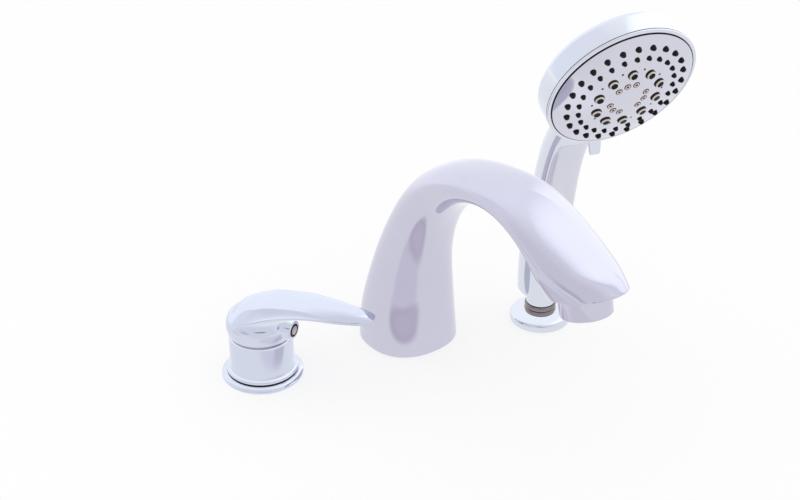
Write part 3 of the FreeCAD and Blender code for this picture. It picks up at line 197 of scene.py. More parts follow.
def mesh_object(name, points, faces, material):
    """Smooth mesh object at the origin from arrays of points and faces; a face may name one point twice."""
    mesh = bpy.data.meshes.new(name)
    mesh.from_pydata(points.tolist(), [], [list(dict.fromkeys(face)) for face in faces.tolist()])
    mesh.materials.append(material)
    mesh.shade_smooth()
    thing = bpy.data.objects.new(name, mesh)
    bpy.context.scene.collection.objects.link(thing)
    return thing


def make_piece(name, shell, station, body, replaced, material):
    """Piece about a station's axis that rides on a body and stands for the replaced nodes, if any."""
    points, faces = shell
    piece = mesh_object(name, at_station(points, station), faces, material)
    piece.data.set_sharp_from_angle(angle=SHARP_ANGLE)
    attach(piece, body)
    if replaced:
        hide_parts(*replaced)


def joined(*shells):
    """Points and faces of several shells as one mesh."""
    starts = np.cumsum([0] + [len(points) for points, _ in shells[:-1]])
    points = np.concatenate([points for points, _ in shells])
    return points, np.concatenate([faces + start for (_, faces), start in zip(shells, starts)])


def side_faces(count, around, rounds):
    """Faces between rings of points; with as many rounds as rings the last ring joins the first."""
    i, j = np.meshgrid(np.arange(rounds), np.arange(around), indexing="ij")
    m, k = (i + 1) % count, (j + 1) % around
    return np.stack([i * around + j, i * around + k, m * around + k, m * around + j], axis=-1).reshape(-1, 4)


def outward(points, faces):
    """Points and faces of a closed mesh, with the faces turned outward."""
    return points, faces[:, ::-1] if signed_volume(points, faces) < 0.0 else faces


def closed_rings(rings):
    """Points and outward faces of a shell of closed rings, shut by a pole in the middle of each end."""
    count, around = rings.shape[:2]
    points = np.concatenate([rings.reshape(-1, 3), rings[[0, -1]].mean(axis=1)])
    j = np.arange(around)
    k = (j + 1) % around
    pole = np.full(around, count * around)
    last = (count - 1) * around
    low = np.stack([k, j, pole, pole], axis=-1)
    high = np.stack([last + j, last + k, pole + 1, pole + 1], axis=-1)
    return outward(points, np.concatenate([side_faces(count, around, count - 1), low, high]))


def closed_loop(rings):
    """Points and outward faces of a shell whose last ring joins its first."""
    count, around = rings.shape[:2]
    return outward(rings.reshape(-1, 3), side_faces(count, around, count))


def rounded_profile(corners, steps=6):
    """Corner list of (radius, height, rounding) with each corner replaced by a curve of its rounding.

    The curve is the quadratic one from the point one rounding before the corner to the point one after it.
    """
    path = []
    table = [np.array(corner[:2], float) for corner in corners]
    for i, (_, _, size) in enumerate(corners):
        if size == 0.0 or i in (0, len(corners) - 1):
            path.append(table[i][None, :])
            continue
        before = table[i - 1] - table[i]
        after = table[i + 1] - table[i]
        first = table[i] + before / np.linalg.norm(before) * size
        last = table[i] + after / np.linalg.norm(after) * size
        t = np.linspace(0.0, 1.0, steps)[:, None]
        path.append((1 - t) ** 2 * first + 2 * t * (1 - t) * table[i] + t**2 * last)
    return np.concatenate(path)


def turned_rings(profile, around):
    """Rings of a profile of (radius, height) carried round the Z axis."""
    a = np.linspace(0.0, TWO_PI, around, endpoint=False)
    radius, height = profile[:, 0][:, None], profile[:, 1][:, None]
    return np.stack([radius * np.cos(a), radius * np.sin(a), height + 0.0 * a], axis=-1)


def turned_solid(corners, around=160):
    """Ring-shaped solid turned about the Z axis from rounded corners, whose list closes on itself."""
    return closed_loop(turned_rings(rounded_profile([*corners, corners[0]])[:-1], around))


def make_turned(name, corners, station, body, replaced, material):
    """Plated or banded solid turned about a station's own axis."""
    make_piece(name, turned_solid(corners), station, body, replaced, material)


# Spout: a swan neck that widens into a hood

# Sections in the spout's plane: outer point forward and up, inner point forward and up, half width
SPOUT_ROWS = [
    (-32.6, 0.0, 32.6, 0.0, 34.3),
    (-30.4, 26.0, 30.4, 22.5, 32.8),
    (-23.7, 52.6, 29.9, 44.0, 29.8),
    (-14.8, 78.8, 30.4, 66.8, 26.4),
    (-2.6, 105.1, 34.6, 88.9, 23.7),
    (13.6, 130.1, 43.0, 109.3, 22.3),
    (34.8, 150.6, 55.6, 126.4, 21.6),
    (59.9, 164.1, 71.5, 139.7, 21.6),
    (86.1, 170.2, 90.7, 148.2, 22.0),
    (112.0, 171.2, 111.0, 151.8, 23.4),
    (138.0, 165.3, 132.0, 148.1, 24.8),
    (163.0, 156.0, 147.5, 137.0, 25.6),
    (183.5, 148.0, 153.5, 127.0, 25.4),
    (197.5, 142.0, 155.8, 121.3, 23.8),
    (207.0, 136.2, 156.3, 117.2, 21.6),
]
SPOUT_KEYS = [0, 1, 2, 3]
SPOUT_SECTIONS, SPOUT_AROUND = 240, 144
SPOUT_FOOT_ROUND, SPOUT_LIP_ROUND = 1.6, 1.3
SPOUT_SQUARENESS = 2.3


def spout_rings():
    """Rounded-square rings across the neck: each row's two points span a ring, its half width goes across."""
    total = run_of(SPOUT_ROWS, SPOUT_KEYS)[-1]
    at, drawn = rounded_stations(total, SPOUT_SECTIONS, SPOUT_FOOT_ROUND, SPOUT_LIP_ROUND)
    rows = smooth_rows(SPOUT_ROWS, at, SPOUT_KEYS)
    outer, inner, half_width = rows[:, 0:2], rows[:, 2:4], rows[:, 4]
    chord = outer - inner
    half = np.linalg.norm(chord, axis=1) / 2.0
    chord = chord / (2.0 * half[:, None])
    middle = (outer + inner) / 2.0
    u, v = superellipse(SPOUT_AROUND, SPOUT_SQUARENESS)
    across = (half_width - drawn)[:, None] * u
    along = (half - drawn)[:, None] * v
    x = middle[:, 0][:, None] + chord[:, 0][:, None] * along
    z = middle[:, 1][:, None] + chord[:, 1][:, None] * along
    return np.stack([x, across, z], axis=-1)


def make_spout(material):
    """The spout from its foot to the hood's lip, shut at both ends."""
    shell = closed_rings(spout_rings())
    make_piece("spout_shell", shell, SPOUT, "deck_set", ["spout_body"], material)


# Corners of radius, height and rounding about the outlet's axis
OUTLET_RING = [
    (13.2, 5.0, 0.0), (16.7, 5.0, 0.3), (16.7, -12.6, 1.0), (11.6, -12.6, 0.5), (11.6, -11.0, 0.2),
    (13.2, -11.0, 0.0),
]


def make_outlet_ring(material):
    """The aerator's chrome ring, turned about the outlet's axis."""
    points, faces = turned_solid(OUTLET_RING)
    shell = in_outlet(points), faces
    make_piece("outlet_ring", shell, SPOUT, "deck_set", ["aerator_housing"], material)


# Mixer valve: corners of radius, height and rounding about its axis

FLANGE_CORNERS = [
    (16.65, 0.0, 0.0), (28.3, 0.0, 0.2), (28.3, 1.3, 0.6), (26.6, 2.6, 0.8), (25.3, 2.9, 0.2),
    (24.9, 3.4, 0.1), (24.3, 3.4, 0.1), (24.3, 5.0, 0.1), (25.0, 5.1, 0.3), (24.9, 6.5, 0.6),
    (23.7, 7.0, 0.6), (22.6, 7.3, 0.3), (22.35, 9.0, 0.2), (22.35, 4.0, 0.0), (16.65, 4.0, 0.0),
]
# A black ring in the flange's groove: a painted dark reflection on the bead's wall
FLANGE_PAINTED_REFLECTION = [(24.1, 3.3, 0.0), (24.85, 3.3, 0.2), (24.85, 5.1, 0.2), (24.1, 5.1, 0.0)]
BODY_CORNERS = [
    (17.55, 9.0, 0.0), (17.55, -8.0, 0.0), (16.5, -8.0, 0.0), (16.5, 4.0, 0.0), (22.2, 4.0, 0.0),
    (22.2, 31.5, 0.5), (19.8, 31.5, 0.0), (19.8, 34.5, 0.2), (17.55, 34.5, 0.2),
]


def make_mixer_shells(material, painted_reflection_material):
    """The stepped flange, a black ring in its groove that is a painted dark reflection, and the straight body
    with its spigot.
    """
    make_turned("mixer_flange_shell", FLANGE_CORNERS, MIXER, "deck_set", ["mixer_flange"], material)
    make_turned("flange_painted_reflection", FLANGE_PAINTED_REFLECTION, MIXER, "deck_set", None, painted_reflection_material)
    make_turned("mixer_body_shell", BODY_CORNERS, MIXER, "deck_set", ["mixer_body"], material)


# Lever: a bowl-shaped hub, and a blade that caps it and runs out over the rim with dished flanks

# Blade rows: reach, half width, edge height, ridge's half width and height, crown, underside, share of dish
BLADE_ROWS = [
    (-22.9, 3.0, 43.6, 1.5, 44.3, 44.4, 42.6, 0.0),
    (-21.0, 9.1, 44.3, 4.5, 46.5, 47.0, 42.0, 0.0),
    (-18.0, 13.5, 45.3, 6.8, 48.6, 49.6, 42.0, 0.0),
    (-14.0, 16.7, 46.5, 8.6, 52.2, 53.7, 42.0, 0.0),
    (-9.0, 18.5, 47.9, 10.3, 55.6, 57.2, 42.0, 0.0),
    (-4.0, 19.4, 49.4, 11.6, 58.0, 59.3, 42.3, 0.25),
    (2.0, 19.8, 51.8, 12.2, 59.2, 60.1, 43.0, 0.7),
    (8.0, 19.6, 54.1, 12.4, 60.6, 61.5, 44.2, 1.0),
    (21.0, 18.2, 57.2, 12.2, 61.9, 63.2, 49.0, 1.0),
    (32.0, 16.9, 58.6, 12.3, 62.2, 64.2, 53.6, 1.0),
    (45.0, 14.8, 58.4, 12.5, 60.6, 64.4, 55.0, 0.8),
    (58.0, 12.6, 57.3, 11.9, 58.5, 63.4, 54.6, 0.3),
    (70.0, 9.8, 56.4, 9.3, 57.2, 61.6, 54.3, 0.0),
    (77.5, 6.6, 56.6, 6.2, 57.3, 59.9, 55.2, 0.0),
    (81.0, 3.0, 57.2, 2.7, 57.6, 58.6, 56.4, 0.0),
]
BLADE_KEYS = [0, 2]
BLADE_SECTIONS = 170
BLADE_EDGE = 1.2

# Points on half a ring: along the crown, the flank, the edge and the underside
CROWN_POINTS, FLANK_POINTS, EDGE_POINTS, UNDER_POINTS = 15, 21, 9, 15

# The blade's underside stays above the ball that the hub's hollow and the trim ring share
DOME_PIVOT = 25.0
HUB_BALL = 24.0

# Hub rows: radius and height of its outside, from the skirt to the pole under the blade
HUB_ROWS = [
    (22.7, 34.8), (23.2, 37.0), (23.6, 40.0), (23.3, 43.0), (22.2, 46.0), (19.8, 48.6), (13.0, 51.0),
    (0.2, 52.0),
]
HUB_KEYS = [0, 1]

# The hub's hollow: its ball and how wide it opens, and the skirt's flat rim
HOLLOW_BALL = 23.45
HOLLOW_MOUTH = 21.4
SKIRT_RIM = [(21.5, 34.6), (22.4, 34.6)]


def blade_rings():
    """Rings across the lever's blade.

    Half a ring runs from the crown as a shallow arch to the ridge, down the flank to the edge, round the edge
    as a half circle, and back under as a keel that falls with the cube of its share of the width; the other
    half is its mirror image. Where the row is dished the flank falls as 1 - (1 - f)^1.5, and where it isn't
    the whole half from crown to edge falls as (u / width)^2.2. The edge is thin over the hub, full beyond it.
    """
    at = np.linspace(0.0, run_of(BLADE_ROWS, BLADE_KEYS)[-1], BLADE_SECTIONS)
    rows = smooth_rows(BLADE_ROWS, at, BLADE_KEYS)
    reach, width, edge, ridge, ridge_up, crown, under, dish = (rows[:, i][:, None] for i in range(8))
    dish = np.clip(dish, 0.0, 1.0)
    beyond = np.clip((reach - 20.0) / 30.0, 0.0, 1.0)
    radius = np.minimum(BLADE_EDGE * np.maximum(0.3 + 0.5 * dish, beyond), width * 0.3)

    s = np.linspace(0.0, 1.0, CROWN_POINTS)[None, :]
    top_u, top_v = ridge * s, crown - (crown - ridge_up) * s**2
    flank_end_u, flank_end_v = width - radius * 0.4, edge + radius * 0.9
    f = np.linspace(0.0, 1.0, FLANK_POINTS)[None, 1:]
    flank_u = ridge + (flank_end_u - ridge) * f
    flank_v = ridge_up + (flank_end_v - ridge_up) * (1.0 - (1.0 - f) ** 1.5)

    upper_u = np.concatenate([top_u, flank_u], axis=1)
    dished_v = np.concatenate([top_v, flank_v], axis=1)
    swell_v = flank_end_v + (crown - flank_end_v) * (1.0 - (upper_u / flank_end_u) ** 2.2)
    upper_v = swell_v + (dished_v - swell_v) * dish

    a = np.linspace(math.radians(65.0), math.radians(-90.0), EDGE_POINTS)[None, 1:]
    edge_u, edge_v = width - radius + radius * np.cos(a), edge + radius * np.sin(a)
    b = np.linspace(1.0, 0.0, UNDER_POINTS)[None, 1:]
    under_u = (width - radius) * b
    under_v = under + (edge - radius - under) * b**3
    ball = DOME_PIVOT + np.sqrt(np.clip(HUB_BALL**2 - reach**2 - under_u**2, 0.0, None))
    under_v = np.maximum(under_v, ball)

    u = np.concatenate([upper_u, edge_u, under_u], axis=1)
    v = np.concatenate([upper_v, edge_v, under_v], axis=1)
    u = np.concatenate([u, -u[:, -2:0:-1]], axis=1)
    v = np.concatenate([v, v[:, -2:0:-1]], axis=1)
    return np.stack([reach + 0.0 * u, u, v], axis=-1)


def hub_rings():
    """The bowl-shaped hub turned about the valve's axis: its hollow is a ball from the pole to the mouth."""
    outside = smooth_rows(HUB_ROWS, np.linspace(0.0, run_of(HUB_ROWS, HUB_KEYS)[-1], 48), HUB_KEYS)
    turn = np.linspace(0.004, math.asin(HOLLOW_MOUTH / HOLLOW_BALL), 24)
    inside = np.stack([HOLLOW_BALL * np.sin(turn), DOME_PIVOT + HOLLOW_BALL * np.cos(turn)], axis=1)
    return turned_rings(np.concatenate([inside, SKIRT_RIM, outside]), 160)


def make_lever(material):
    """The blade and the hub as one piece."""
    shell = joined(closed_rings(blade_rings()), closed_rings(hub_rings()))
    make_piece("lever_shell", shell, MIXER, "lever", ["lever_handle"], material)


# Index cap: a dark-rimmed button on the hub's front pad

CAP_TURN = math.radians(-13.0)
CAP_AT = (27.2, 42.2)
PAD_LOWEST = 34.8
PAD_CORNERS = [(12.5, -27.2, 0.0), (8.6, -6.0, 3.0), (6.5, 0.0, 0.6), (4.9, 0.0, 0.1), (4.9, -1.0, 0.0)]
CAP_RING = [(2.0, -3.5, 0.0), (4.8, -2.0, 0.0), (4.8, 0.25, 0.3), (3.7, 0.35, 0.2), (0.05, -0.1, 0.0)]
CAP_DOME = [(3.4, -0.6, 0.0), (3.35, 0.2, 0.15), (1.8, 0.55, 0.8), (0.05, 0.6, 0.0)]


def along_cap(points):
    """Points about +Z, moved to the cap's axis: level, turned from the lever's own direction."""
    return turned(points[..., [2, 1, 0]] + [CAP_AT[0], 0.0, CAP_AT[1]], CAP_TURN)


def make_cap_piece(name, rings, replaced, material):
    """Piece of the lever turned about the cap's axis."""
    points, faces = closed_rings(rings)
    make_piece(name, (along_cap(points), faces), MIXER, "lever", replaced, material)


def make_cap(pad_material, cap_material, ring_material):
    """The pad is a cone that swells out of the hub, cut level above the skirt; the cap is a dome in it."""
    pad = turned_rings(rounded_profile(PAD_CORNERS), 96)
    pad[..., 0] = np.maximum(pad[..., 0], PAD_LOWEST - CAP_AT[1])
    make_cap_piece("cap_pad", pad, None, pad_material)
    ring = turned_rings(rounded_profile(CAP_RING), 72)
    make_cap_piece("cap_ring", ring, ["index_cap"], ring_material)
    dome = turned_rings(rounded_profile(CAP_DOME), 64)
    make_cap_piece("cap_button", dome, None, cap_material)


# Shower: holder and hose connector, as corners about the station's axis, then handle and head

HOLDER_FLANGE = [(9.6, 0.0, 0.0), (21.8, 0.0, 0.3), (21.8, 5.2, 2.2), (17.0, 6.8, 2.5), (9.6, 6.8, 0.2)]
HOLDER_NECK = [
    (8.6, 6.8, 0.0), (10.4, 6.8, 0.0), (11.5, 7.7, 0.9), (11.5, 9.6, 0.9), (10.2, 10.6, 0.4),
    (11.4, 11.5, 0.8), (11.4, 13.4, 0.8), (10.2, 14.5, 0.0), (8.6, 14.5, 0.0),
]
# Black rings of painted shade in the grooves between the neck's beads: name, lower edge and radius
NECK_GROOVE_SHADES = [("neck_groove_shade_low", 6.75, 11.0), ("neck_groove_shade_middle", 10.25, 10.75), ("neck_groove_shade_top", 14.2, 10.6)]
GROOVE_SHADE_TALL = 0.7
GROOVE_SHADE_ROOT = 9.8
CONNECTOR = [
    (4.0, -30.0, 0.0), (6.0, -30.0, 0.3), (6.0, -12.0, 0.0), (8.0, -10.0, 0.3), (8.0, 14.5, 0.0),
    (10.3, 14.5, 0.5), (10.3, 36.0, 0.4), (7.65, 36.0, 0.0), (7.65, 26.5, 0.0), (4.0, 26.5, 0.0),
]


def make_holder(material, painted_shade_bead_material, shade_ring_material):
    """The holder's flange, its two beads in a darker chrome of painted shade, black rings of painted shade in
    the grooves beside them, and the hose connector in it.
    """
    make_turned("holder_flange_shell", HOLDER_FLANGE, SHOWER, "deck_set", ["holder_flange"], material)
    make_turned("holder_neck_shell", HOLDER_NECK, SHOWER, "deck_set", ["holder_neck"], painted_shade_bead_material)
    for name, low, reach in NECK_GROOVE_SHADES:
        high = low + GROOVE_SHADE_TALL
        corners = [(GROOVE_SHADE_ROOT, low, 0.0), (reach, low, 0.1), (reach, high, 0.1), (GROOVE_SHADE_ROOT, high, 0.0)]
        make_turned(name, corners, SHOWER, "deck_set", None, shade_ring_material)
    make_turned("connector_shell", CONNECTOR, SHOWER, "hose_end", ["hose_connector"], material)


# Handle rows along its centre line: forward, up, half width, half depth
HANDLE_ROWS = [
    (0.0, 25.0, 16.6, 16.6),
    (-0.9, 38.0, 16.4, 16.2),
    (0.0, 60.0, 16.0, 15.4),
    (6.2, 91.0, 15.2, 14.4),
    (13.4, 126.9, 14.8, 13.8),
    (23.4, 156.0, 14.8, 12.8),
    (36.0, 175.0, 15.6, 11.0),
    (50.5, 189.0, 16.3, 9.0),
    (64.0, 201.6, 15.5, 5.5),
]
HANDLE_KEYS = [0, 1]
HANDLE_AROUND = 128
HANDLE_SQUARENESS = 2.3

# Over this run from its foot the handle's sections turn from level to square to its line
UPRIGHT_RUN = 30.0

# Recess for the connector in the handle's foot: radius, ceiling and mouth
RECESS_RADIUS = 10.7
RECESS_HEIGHTS = (35.8, 25.0)

# Panel on the handle's front: ends along the handle, half width, corner radius, foot's rounding and thickness
PANEL_LOW, PANEL_HIGH = 37.0, 147.0
PANEL_HALF_WIDTH = 11.5
PANEL_CORNER = 8.0
PANEL_FOOT = 1.6
PANEL_TAPER = 0.5
PANEL_LIFT = 0.42


def handle_line(at):
    """Rows of the handle at distances along its centre line, with the unit direction that points forward.

    The line's own direction is the difference of two near points on it. It blends from upright at the foot.
    """
    step = 0.5
    total = run_of(HANDLE_ROWS, HANDLE_KEYS)[-1]
    ahead = smooth_rows(HANDLE_ROWS, np.minimum(at + step, total), HANDLE_KEYS)
    behind = smooth_rows(HANDLE_ROWS, np.maximum(at - step, 0.0), HANDLE_KEYS)
    along = ahead[:, 0:2] - behind[:, 0:2]
    along = along / np.linalg.norm(along, axis=1)[:, None]
    freed = np.clip(at / UPRIGHT_RUN, 0.0, 1.0)[:, None]
    along = along * freed + np.array([[0.0, 1.0]]) * (1.0 - freed)
    along = along / np.linalg.norm(along, axis=1)[:, None]
    return smooth_rows(HANDLE_ROWS, at, HANDLE_KEYS), np.stack([along[:, 1], -along[:, 0]], axis=1)


def across_handle(rows, forward, across, deep):
    """Points beside the handle's centre line: so far across it, and so far forward of it."""
    x = rows[:, 0][:, None] + forward[:, 0][:, None] * deep
    z = rows[:, 1][:, None] + forward[:, 1][:, None] * deep
    return np.stack([x, across, z], axis=-1)


def handle_rings():
    """Rounded-square rings across the handle, with the recess for the connector let into its foot."""
    at, drawn = rounded_stations(run_of(HANDLE_ROWS, HANDLE_KEYS)[-1], 200, 1.4, 0.5)
    rows, forward = handle_line(at)
    u, v = superellipse(HANDLE_AROUND, HANDLE_SQUARENESS)
    across, deep = (rows[:, 2] - drawn)[:, None] * u, (rows[:, 3] - drawn)[:, None] * v
    outside = across_handle(rows, forward, across, deep)
    a = np.linspace(0.0, TWO_PI, HANDLE_AROUND, endpoint=False)
    circle = RECESS_RADIUS * np.stack([np.sin(a), np.cos(a), 0.0 * a], axis=-1)
    recess = [circle + [0.0, 0.0, height] for height in RECESS_HEIGHTS]
    return np.concatenate([np.array(recess), outside])


def panel_rings():
    """The handle's front panel: a thin pillow laid on the handle, with a square foot and two round corners.

    At each distance along the handle its half width is full up to the corners and follows a quarter circle of
    the corner's radius there, and its height above the handle is a flat-topped superellipse.
    """
    share_up = np.sin(np.linspace(-math.pi / 2.0, math.pi / 2.0, 180)) * 0.5 + 0.5
    at = PANEL_LOW + (PANEL_HIGH - PANEL_LOW) * share_up
    arch = np.clip((at - (PANEL_HIGH - PANEL_CORNER)) / PANEL_CORNER, 0.0, 1.0)
    foot = np.clip(1.0 - (at - PANEL_LOW) / PANEL_FOOT, 0.0, 1.0)
    width = PANEL_HALF_WIDTH - PANEL_CORNER + PANEL_CORNER * np.sqrt(np.clip(1.0 - arch**2, 0.0, 1.0))
    width = width * (1.0 - 0.2 * foot**2)
    end = np.clip(np.minimum(at - PANEL_LOW, PANEL_HIGH - at) / PANEL_TAPER, 0.02, 1.0)
    rows, forward = handle_line(at)
    u, v = superellipse(96, 6.0)
    across = width[:, None] * u
    share = np.clip(np.abs(across) / rows[:, 2][:, None], 0.0, 0.999)
    surface = rows[:, 3][:, None] * (1.0 - share**HANDLE_SQUARENESS) ** (1.0 / HANDLE_SQUARENESS)
    return across_handle(rows, forward, across, surface + (PANEL_LIFT * end)[:, None] * v)


# Corners of radius, height and rounding about the head's axis, as are those of the ring and of the black rings
# of painted shade in its gaps
HEAD_SIDE = [
    (44.0, -19.8, 0.0), (47.0, -19.0, 1.4), (50.0, -16.0, 2.0), (50.0, -2.0, 0.4), (49.1, -2.0, 0.1),
    (49.1, -5.4, 0.0), (47.7, -5.4, 0.0), (47.7, -9.0, 0.0),
]
HEAD_AROUND = 192
# The head's back: its height at the axis, and how far it has risen at a radius
HEAD_BACK, HEAD_BACK_RISE, HEAD_BACK_RADIUS = -25.5, 6.5, 47.0


def head_rings():
    """The head's shell about its axis: a back that rises with the radius squared, and a straight side."""
    r = np.linspace(0.05, HEAD_SIDE[0][0], 24)
    back = np.stack([r, HEAD_BACK + HEAD_BACK_RISE * (r / HEAD_BACK_RADIUS) ** 2], axis=1)
    return turned_rings(np.concatenate([back, rounded_profile(HEAD_SIDE, 9)[1:]]), HEAD_AROUND)


def make_handset(material, panel_material):
    """The handle and the head as one piece, and the panel on the handle's front."""
    points, faces = closed_rings(head_rings())
    shell = joined(closed_rings(handle_rings()), (in_head(points), faces))
    make_piece("handset_shells", shell, SHOWER, "handset", ["handset_shell"], material)
    panel = closed_rings(panel_rings())
    make_piece("panel_pillow", panel, SHOWER, "handset", ["handle_panel"], panel_material)


# Spray face

FACE_RADIUS = 47.3
FACE_RISE = 8.2
FACE_PROUD = 0.4
FACE_BALL = (FACE_RADIUS**2 + FACE_RISE**2) / (2.0 * FACE_RISE)
FACE_AROUND = 192

# The selector ring's tab: its turn about the head's axis, lean, length, half widths and half thickness
TAB_TURN = math.radians(-93.2)
TAB_LEAN = math.radians(36.7)
TAB_ROOT = (47.9, -4.2)
TAB_LENGTH = 13.2
TAB_HALF_WIDTHS = (4.85, 3.7)
TAB_HALF_THICKNESS = 1.3


def face_up(distance):
    """Height of the spray face's shallow ball, proud of the ring, at a distance from the axis."""
    return FACE_PROUD + FACE_RISE - FACE_BALL + np.sqrt(FACE_BALL**2 - distance**2)


def tab_rings():
    """Rounded-square rings along the tab, narrower to its tip, leaned forward and turned to its place."""
    at, drawn = rounded_stations(TAB_LENGTH, 30, 0.2, 1.1)
    root, tip = TAB_HALF_WIDTHS
    wide = root + (tip - root) * (at / TAB_LENGTH) ** 1.5 - drawn
    thick = TAB_HALF_THICKNESS - 0.8 * drawn
    u, v = superellipse(48, 4.0)
    along = at[:, None] + 0.0 * u
    rings = np.stack([along, wide[:, None] * u, thick[:, None] * v - TAB_HALF_THICKNESS], axis=-1)
    return turned(leaned(rings, -TAB_LEAN) + [TAB_ROOT[0], 0.0, TAB_ROOT[1]], TAB_TURN)


def make_face_piece(name, shell, replaced, material):
    """Piece of the turning spray face, from points and faces about the head's axis."""
    points, faces = shell
    make_piece(name, (in_head(points), faces), SHOWER, "spray_face", replaced, material)


RING_CORNERS = [
    (48.6, -5.0, 0.0), (48.6, -1.7, 0.0), (50.0, -1.6, 0.2), (50.0, -0.3, 0.7), (47.8, -0.3, 0.3),
    (47.8, -3.2, 0.0), (46.7, -3.4, 0.0), (46.7, -5.0, 0.0),
]
# Black rings in the gaps on either side of the ring's front flange: painted shade
PLATE_GAP_SHADE = [(46.9, -1.2, 0.0), (47.85, -1.2, 0.0), (47.8, 0.05, 0.0), (47.35, 0.42, 0.0), (46.95, 0.42, 0.0)]
RIM_GAP_SHADE = [(49.0, -2.05, 0.0), (49.93, -2.05, 0.0), (49.93, -1.55, 0.0), (49.0, -1.55, 0.0)]


def make_ring(material, shade_ring_material):
    """The selector ring with its thumb tab, and black rings of painted shade in the gaps on either side of its
    front flange.
    """
    ring = joined(turned_solid(RING_CORNERS, FACE_AROUND), closed_rings(tab_rings()))
    make_face_piece("ring_shell", ring, ["selector_ring"], material)
    shade_rings = joined(turned_solid(PLATE_GAP_SHADE, FACE_AROUND), turned_solid(RIM_GAP_SHADE, FACE_AROUND))
    make_face_piece("rim_gap_shades", shade_rings, None, shade_ring_material)


def make_plate(material):
    """The spray plate: the face's shallow ball with its edge turned back, shut flat behind."""
    r = np.linspace(0.05, FACE_RADIUS - 0.3, 48)
    top = np.stack([r, face_up(r)], axis=1)
    edge = [(FACE_RADIUS - 0.2, 0.35), (FACE_RADIUS - 0.2, -1.4), (FACE_RADIUS - 1.5, -1.6)]
    plate = closed_rings(turned_rings(np.concatenate([top, edge]), FACE_AROUND))
    make_face_piece("plate_shell", plate, ["face_plate"], material)


def repeated(profile, places, around):
    """Copies of one turned solid at places on the face, each leaned so that it stands square to it."""
    points, faces = closed_rings(turned_rings(profile, around))
    copies = []
    for distance, turn in places:
        stood = leaned(points, math.asin(distance / FACE_BALL)) + [distance, 0.0, face_up(distance)]
        copies.append((turned(stood, turn), faces))
    return joined(*copies)


def ring_places(count, distance, start):
    """Distance from the head's axis and turn about it of evenly spaced places; the start is in degrees."""
    return [(distance, math.radians(start + 360.0 * i / count)) for i in range(count)]


OUTER_NUB_PLACES = ring_places(24, 38.8, 4.2)
INNER_NUB_PLACES = ring_places(24, 31.9, 4.4)
PIN_PLACES = ring_places(10, 23.8, 6.1)
CUP_PLACES = ring_places(10, 21.0, 25.6)
# The small ones stand in three threes, 29 degrees apart in each
MIST_PLACES = [
    (11.9, math.radians(108.7 + 120.0 * group + 29.0 * step)) for group in range(3) for step in (-1, 0, 1)
]

# Corners of radius, height above the face and rounding
NUB = [
    (2.05, -0.4, 0.0), (2.0, 0.7, 0.5), (1.6, 1.5, 0.4), (1.4, 2.3, 0.5), (0.8, 2.35, 0.1),
    (0.6, 1.8, 0.0), (0.03, 1.8, 0.0),
]
INNER_NUB_SCALE = (0.85, 0.9)
CUP_FOOT = [(3.45, -0.4, 0.0), (3.4, 0.9, 0.3), (3.0, 1.6, 0.2), (0.03, 1.6, 0.0)]
CUP_COLLAR = [(2.95, 1.5, 0.0), (2.85, 1.85, 0.2), (2.5, 2.35, 0.2), (1.9, 2.4, 0.1), (0.03, 2.4, 0.0)]
CUP_MOUTH = [(2.25, 2.2, 0.0), (2.2, 2.5, 0.1), (1.5, 2.6, 0.2), (0.03, 2.55, 0.0)]
MIST_EYE = [(2.3, -0.4, 0.0), (2.25, 0.3, 0.2), (1.8, 0.4, 0.1), (0.03, 0.15, 0.0)]
MIST_DISH = [(1.75, 0.1, 0.0), (1.7, 0.42, 0.1), (0.9, 0.3, 0.3), (0.03, 0.3, 0.0)]
MIST_PUPIL = [(0.85, 0.2, 0.0), (0.8, 0.6, 0.15), (0.3, 0.75, 0.1), (0.03, 0.75, 0.0)]
PIN_HOLE = [(0.75, -0.2, 0.0), (0.75, 0.04, 0.0), (0.03, 0.05, 0.0)]


def make_nozzles(rubber, cup, cup_liner, dark, collar_metal):
    """Soft nubs in two rings, ten cups with a dark mouth, nine small ones in threes, and ten pin holes."""
    nub = rounded_profile(NUB)
    nubs = joined(repeated(nub, OUTER_NUB_PLACES, 20), repeated(nub * INNER_NUB_SCALE, INNER_NUB_PLACES, 20))
    make_face_piece("rain_nubs", nubs, ["nozzle_mat"], rubber)
    for name, corners, places, around, replaced, slot, material in [
        ("cup_feet", CUP_FOOT, CUP_PLACES, 40, ["massage_nozzles"], "dark", cup_liner),
        ("cup_collars", CUP_COLLAR, CUP_PLACES, 40, None, "face", collar_metal),
        ("cup_mouths", CUP_MOUTH, CUP_PLACES, 32, None, "dark", dark),
        ("mist_eyes", MIST_EYE, MIST_PLACES, 32, ["mist_inserts"], "dark", cup),
        ("mist_dishes", MIST_DISH, MIST_PLACES, 28, None, "face", collar_metal),
        ("mist_pupils", MIST_PUPIL, MIST_PLACES, 20, None, "dark", cup),
        ("pin_holes", PIN_HOLE, PIN_PLACES, 16, None, "dark", dark),
    ]:
        make_face_piece(name, repeated(rounded_profile(corners), places, around), replaced, material)


# Materials


def feed(tree, node, values):
    """Set a node's inputs, by label or number, to plain numbers or colours, or link sockets to them."""
    for label, value in values.items():
        socket = node.inputs[label]
        if isinstance(value, (int, float)):
            socket.default_value = value
        elif isinstance(value, tuple):
            socket.default_value = (*value, 1.0)
        else:
            tree.links.new(value, socket)


def add_node(tree, kind, values, **settings):
    """New shader node with its settings made and its sockets fed."""
    node = tree.nodes.new("ShaderNode" + kind)
    for label, setting in settings.items():
        setattr(node, label, setting)
    feed(tree, node, values)
    return node


def noise(tree, place, scale, detail, roughness=0.5):
    """Soft noise between nought and one."""
    values = {"Vector": place, "Scale": scale, "Detail": detail, "Roughness": roughness}
    return add_node(tree, "TexNoise", values).outputs["Fac"]


